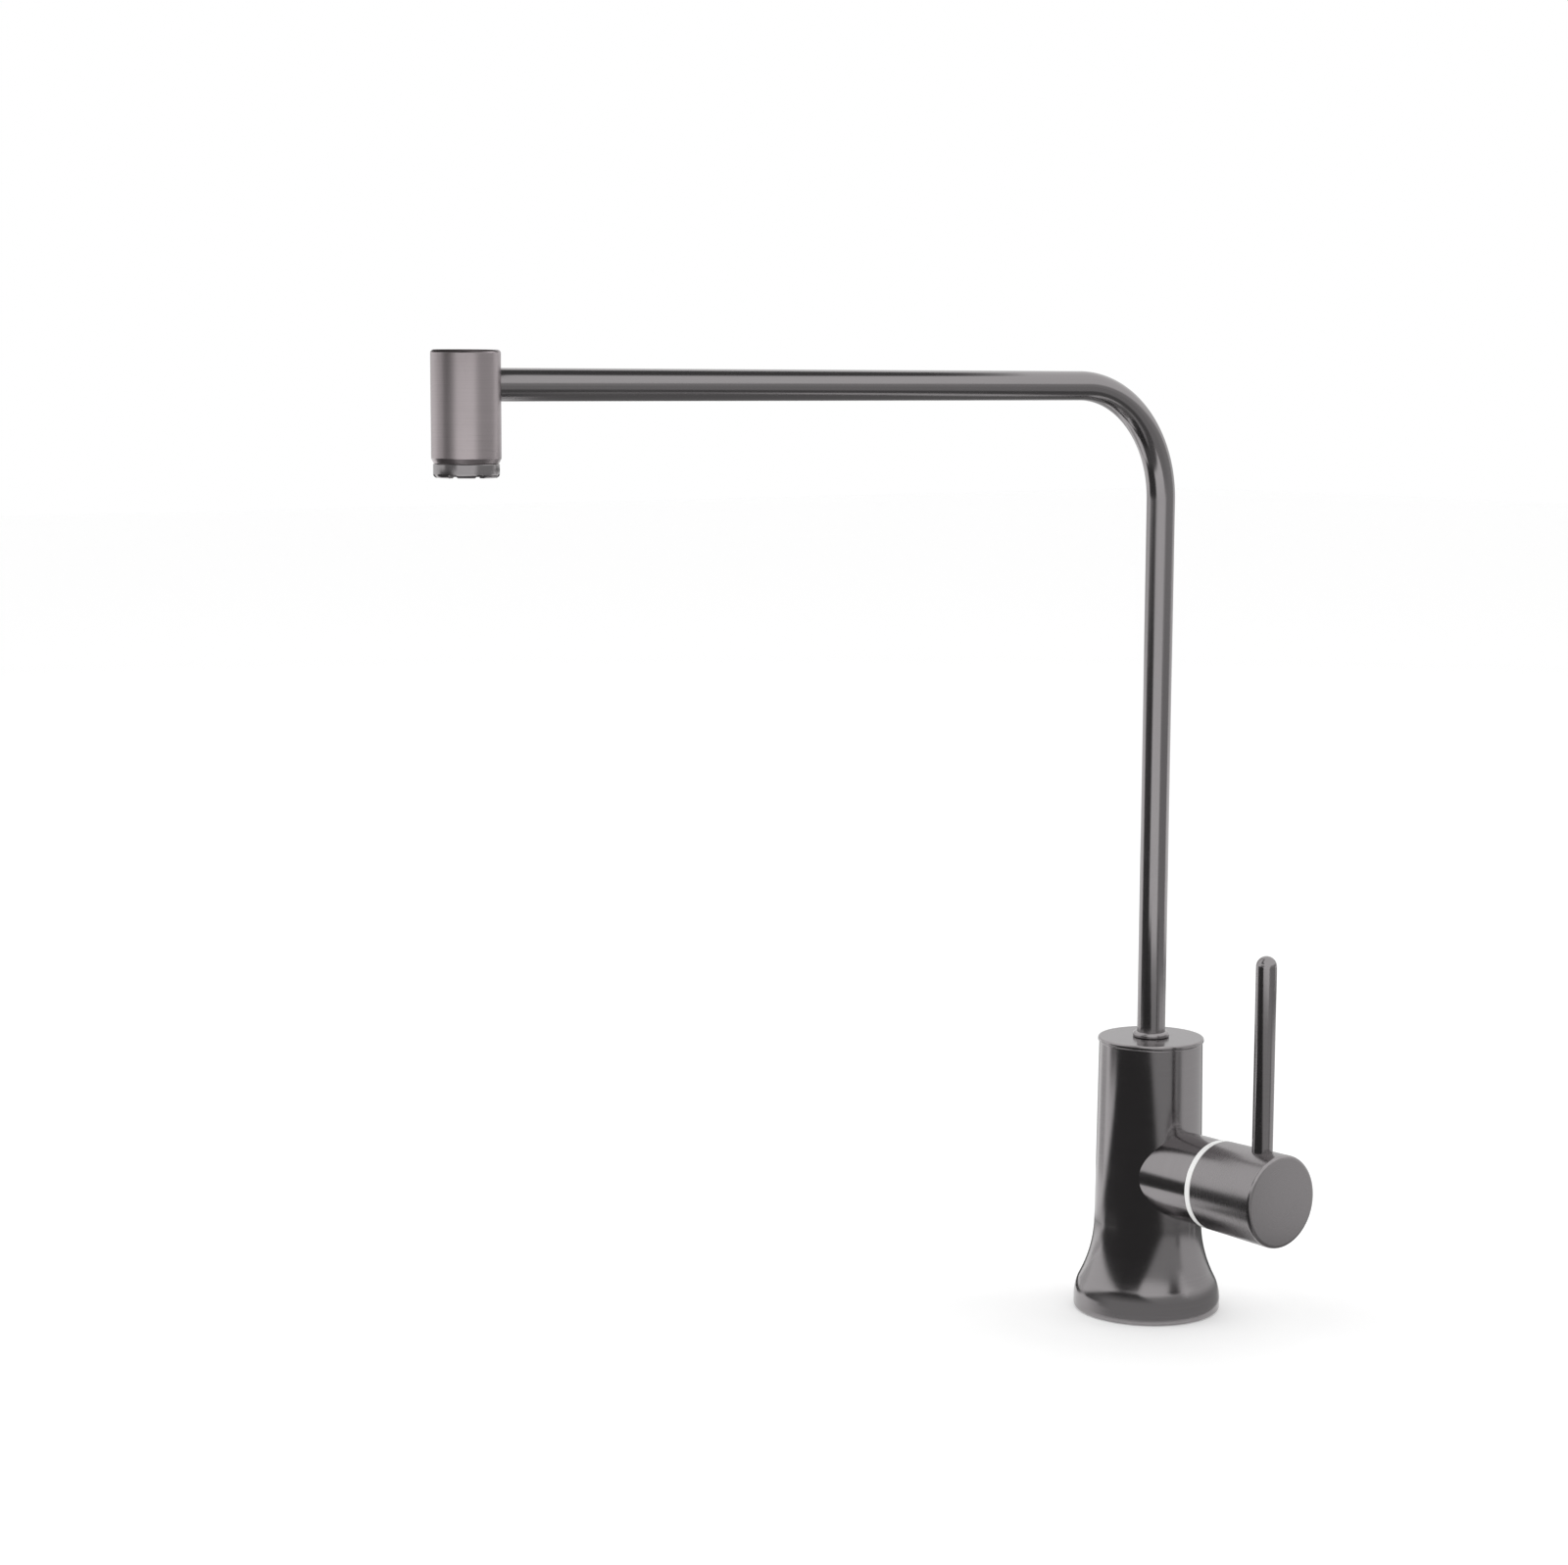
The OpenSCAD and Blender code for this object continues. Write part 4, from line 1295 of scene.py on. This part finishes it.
CARDS = (
    Card("bell_flag", 0.06, (-130, 36), (0.15, 0.15), (0.0, 0.114), (82, 59), (0.8, 0.85), (0.10, 0.0, 0.08)),
    Card("bell_mat", 0.06, (-112, 30), (0.10, 0.15), (0.0007, 0.0007), softness=(0.06, 0.2, 0.0)),
    Card("bell_near", 0.10, (-74, 24), (0.048, 0.105), (0.0006, 0.0006), softness=(0.08, 0.2, 0.0)),
    Card("rim_kerb", 0.38, (-78, 125), (0.030, 0.030), (0.0, 0.014), softness=(0.2, 0.0, 0.45)),
    Card("front_mat", 0.15, (-88, 108), (0.155, 0.56), (0.0006, 0.0006), softness=(0.03, 0.05, 0.1)),
    Card("left_gap_floor", 0.08, (-112, -35), (0.42, 3.0), (0.0007, 0.0007), softness=(0.15, 0.03, 0.0)),
    Card("left_gap_low", 0.12, (-106, -34), (3.0, 3.0), (0.0, 0.2), softness=(0.3, 0.0, 0.1)),
    Card("left_gap_high", 0.30, (-78, -26), (3.0, 3.0), (0.18, 1.1), softness=(0.2, 0.05, 0.3)),
    Card("right_near", 0.25, (15, 110), (0.055, 0.155), (0.0005, 0.0005), softness=(0.12, 0.1, 0.0)),
    Card("right_wall", 0.45, (-30, 62), (0.17, 0.17), (0.0, 0.105), softness=(0.15, 0.0, 0.2)),
    Card("side_wall", 0.75, (56, 150), (0.17, 0.17), (0.0, 0.09), softness=(0.12, 0.0, 0.2)),
    Card("right_floor", 0.38, (22, 104), (0.50, 3.0), (0.0004, 0.0004), softness=(0.12, 0.02, 0.0)),
    Card("right_screen", 0.45, (26, 125), (3.0, 3.0), (0.0, 1.0), softness=(0.2, 0.0, 0.3)),
    Card("foot_mat", 0.08, (100, 250), (0.05, 0.14), (0.0006, 0.0006), softness=(0.08, 0.0, 0.2)),
    Card("back_floor", 0.22, (88, 172), (0.05, 0.75), (0.0005, 0.0005), softness=(0.1, 0.05, 0.1)),
    Card("back_screen", 0.78, (125, 235), (2.6, 2.6), (0.0, 1.2), softness=(0.1, 0.0, 0.3)),
    Card("left_pale", 0.7, (-146, -114), (0.2, 0.6), (0.0005, 0.0005), softness=(0.3, 0.2, 0.2)),
    Card("back_pale", 0.6, (148, 205), (0.2, 1.2), (0.0003, 0.0003), softness=(0.15, 0.1, 0.1)),
    Card("arm_mat", 0.22, (-100, -47), (0.02, 0.255), (0.29, 0.29), (38, 0), (0.6, 1.0), (0.1, 0.1, 0.05)),
    Card("arm_shade", 0.12, (-74, -30), (0.04, 0.262), (0.345, 0.345), (18, 18), (0.5, 0.5), (0.25, 0.45, 0)),
    Card("head_shade", 0.05, (-76, -28), (0.285, 0.40), (0.345, 0.345), softness=(0.08, 0.1, 0.1)),
    Card("head_lid", 0.18, (-72, -32), (0.245, 0.31), (0.3455, 0.3455), softness=(0.1, 0.1, 0.1)),
)


@dataclass(frozen=True)
class Softbox:
    """A soft square lamp that faces the tap, with its bearing and its rise above level in degrees."""

    name: str
    bearing: float
    power: float
    rise: float = 30.0
    distance: float = 1.7
    side: float = 1.1


SOFTBOXES = (Softbox("left_softbox", -94, 5.2), Softbox("right_softbox", 86, 5.6))


def sheet(name: str, grid: np.ndarray) -> bpy.types.Object:
    """Makes an open sheet with one quad for each cell of a grid of points.

    Args:
        name: Name of the sheet.
        grid: Points, in the shape (rows, columns, 3).

    Returns:
        The object.
    """
    index = np.arange(grid[..., 0].size).reshape(grid.shape[:2])
    cells = np.stack((index[:-1, :-1], index[:-1, 1:], index[1:, 1:], index[1:, :-1]), axis=-1)
    mesh = bpy.data.meshes.new(name)
    mesh.from_pydata(grid.reshape(-1, 3).tolist(), [], cells.reshape(-1, 4).tolist())
    return stand(name, mesh)


@dataclass
class Studio:
    """Floor, light, reflection cards and camera."""

    turn: float = 51.92
    tilt: float = 7.19
    roll: float = 0.22
    focal_pixels: float = 3280.8
    image_width: float = 1600.0
    sensor: float = 36.0
    nearest: float = 0.01
    eye: Triple = (0.7724, -0.7650, 0.3178)
    aim: Triple = (0.0, -0.1, 0.16)
    white: Triple = (1.0, 1.0, 1.0)
    floor_colour: Triple = (0.86, 0.86, 0.86)
    floor_roughness: float = 0.9
    floor_lift: float = 0.2
    floor_reach: float = 6.0
    floor_lines: int = 25
    floor_height: float = -0.2 * MM
    room_light: float = 0.9

    def away(self, bearing: np.ndarray | float) -> tuple[np.ndarray, np.ndarray]:
        """Level direction of a bearing: the camera's side times cosine plus its right side times sine.

        Args:
            bearing: Bearings from the camera's side, in degrees.

        Returns:
            The x and the y of each direction.
        """
        angle = np.radians(bearing)
        turn = math.radians(self.turn)
        x = math.sin(turn) * np.cos(angle) + math.cos(turn) * np.sin(angle)
        y = -math.cos(turn) * np.cos(angle) + math.sin(turn) * np.sin(angle)
        return x, y

    def build_camera(self) -> None:
        """Stands the camera where the photograph was taken from."""
        turn, tilt, roll = (math.radians(angle) for angle in (self.turn, self.tilt, self.roll))
        ahead = Vector((-math.sin(turn) * math.cos(tilt), math.cos(turn) * math.cos(tilt), -math.sin(tilt)))
        right = Vector((math.cos(turn), math.sin(turn), 0))
        up = right.cross(ahead)
        level = right * math.cos(roll) + up * math.sin(roll)
        upright = up * math.cos(roll) - right * math.sin(roll)
        lens = bpy.data.cameras.new("photo_camera")
        lens.sensor_fit = "HORIZONTAL"
        lens.sensor_width = self.sensor
        lens.lens = self.sensor * self.focal_pixels / self.image_width
        lens.clip_start = self.nearest
        camera = stand("photo_camera", lens)
        axes = Matrix((level, upright, -ahead)).transposed()
        camera.matrix_world = Matrix.Translation(self.eye) @ axes.to_4x4()
        bpy.context.scene.camera = camera

    @staticmethod
    def shows_white(sketch: Sketch) -> bpy.types.NodeSocket:
        """Finds the rays that see the white room.

        Args:
            sketch: Sketch of the floor or the world.

        Returns:
            One for rays from the camera, from gloss and through glass, nought for the rest.
        """
        path = sketch.add("ShaderNodeLightPath").outputs
        seen = sketch.reckon("MAXIMUM", path["Is Camera Ray"], path["Is Glossy Ray"])
        return sketch.reckon("MAXIMUM", seen, path["Is Transmission Ray"])

    def build_world(self) -> None:
        """Fills the room with even light, white where it is seen or mirrored."""
        world = bpy.data.worlds.new("white_room")
        world.use_nodes = True
        sketch = Sketch(world.node_tree)
        strength = sketch.spread(self.shows_white(sketch), (0, 1), (self.room_light, 1))
        glow = sketch.add("ShaderNodeBackground", {"Color": opaque(self.white), "Strength": strength})
        sketch.add("ShaderNodeOutputWorld", {"Surface": glow.outputs[0]})
        bpy.context.scene.world = world

    def build_lamp(self, softbox: Softbox) -> None:
        """Hangs a lamp that lights the tap but isn't mirrored in it.

        Args:
            softbox: The lamp's settings.
        """
        x, y = self.away(softbox.bearing)
        climb = math.radians(softbox.rise)
        back = Vector((x * math.cos(climb), y * math.cos(climb), math.sin(climb)))
        lamp = bpy.data.lights.new(softbox.name, "AREA")
        lamp.size = softbox.side
        lamp.energy = softbox.power
        hung = stand(softbox.name, lamp)
        hung.location = Vector(self.aim) + back * softbox.distance
        hung.rotation_euler = back.to_track_quat("Z", "Y").to_euler()
        hung.visible_glossy = False

    def build_floor(self) -> None:
        """Lays the pale floor, a level sheet that shows as white apart from the tap's shadow."""
        across = np.linspace(-self.floor_reach, self.floor_reach, self.floor_lines)
        x, y = np.meshgrid(across, across)
        floor = sheet("floor", np.stack((x, y, np.full_like(x, self.floor_height)), axis=-1))
        material, sketch = new_material("pale_floor")
        sketch.show(sketch.add("ShaderNodeBsdfPrincipled", {
            "Base Color": opaque(self.floor_colour), "Roughness": self.floor_roughness,
            "Emission Color": opaque(self.white),
            "Emission Strength": sketch.product(self.shows_white(sketch), self.floor_lift)}))
        floor.data.materials.append(material)

    def build_card(self, card: Card) -> None:
        """Stands a card about the tap's axis, with its cover painted on its points.

        Args:
            card: The card.
        """
        bearing, distance, height = np.moveaxis(card.points(), -1, 0)
        x, y = self.away(bearing)
        shown = sheet(card.name, np.stack((distance * x, distance * y, height), axis=-1))
        cover = shown.data.attributes.new("cover", "FLOAT", "POINT")
        cover.data.foreach_set("value", card.cover().ravel())
        shown.data.materials.append(card.material())
        shown.visible_camera = False
        shown.visible_diffuse = False
        shown.visible_transmission = False
        shown.visible_shadow = False

    def build(self) -> None:
        """Sets up the whole studio."""
        self.build_camera()
        self.build_world()
        self.build_floor()
        for softbox in SOFTBOXES:
            self.build_lamp(softbox)
        for card in CARDS:
            self.build_card(card)
        bpy.context.scene.view_settings.view_transform = "Standard"


def main() -> None:
    """Builds the studio and the tap's sub-assemblies in order."""
    logging.basicConfig(level=logging.INFO, format="%(name)s: %(message)s")
    Studio().build()
    for assembly in (Column(), Valve(), Handle(), Spout()):
        assembly.build()
        log.info("%s done", type(assembly).__name__)


if __name__ == "__main__":
    main()
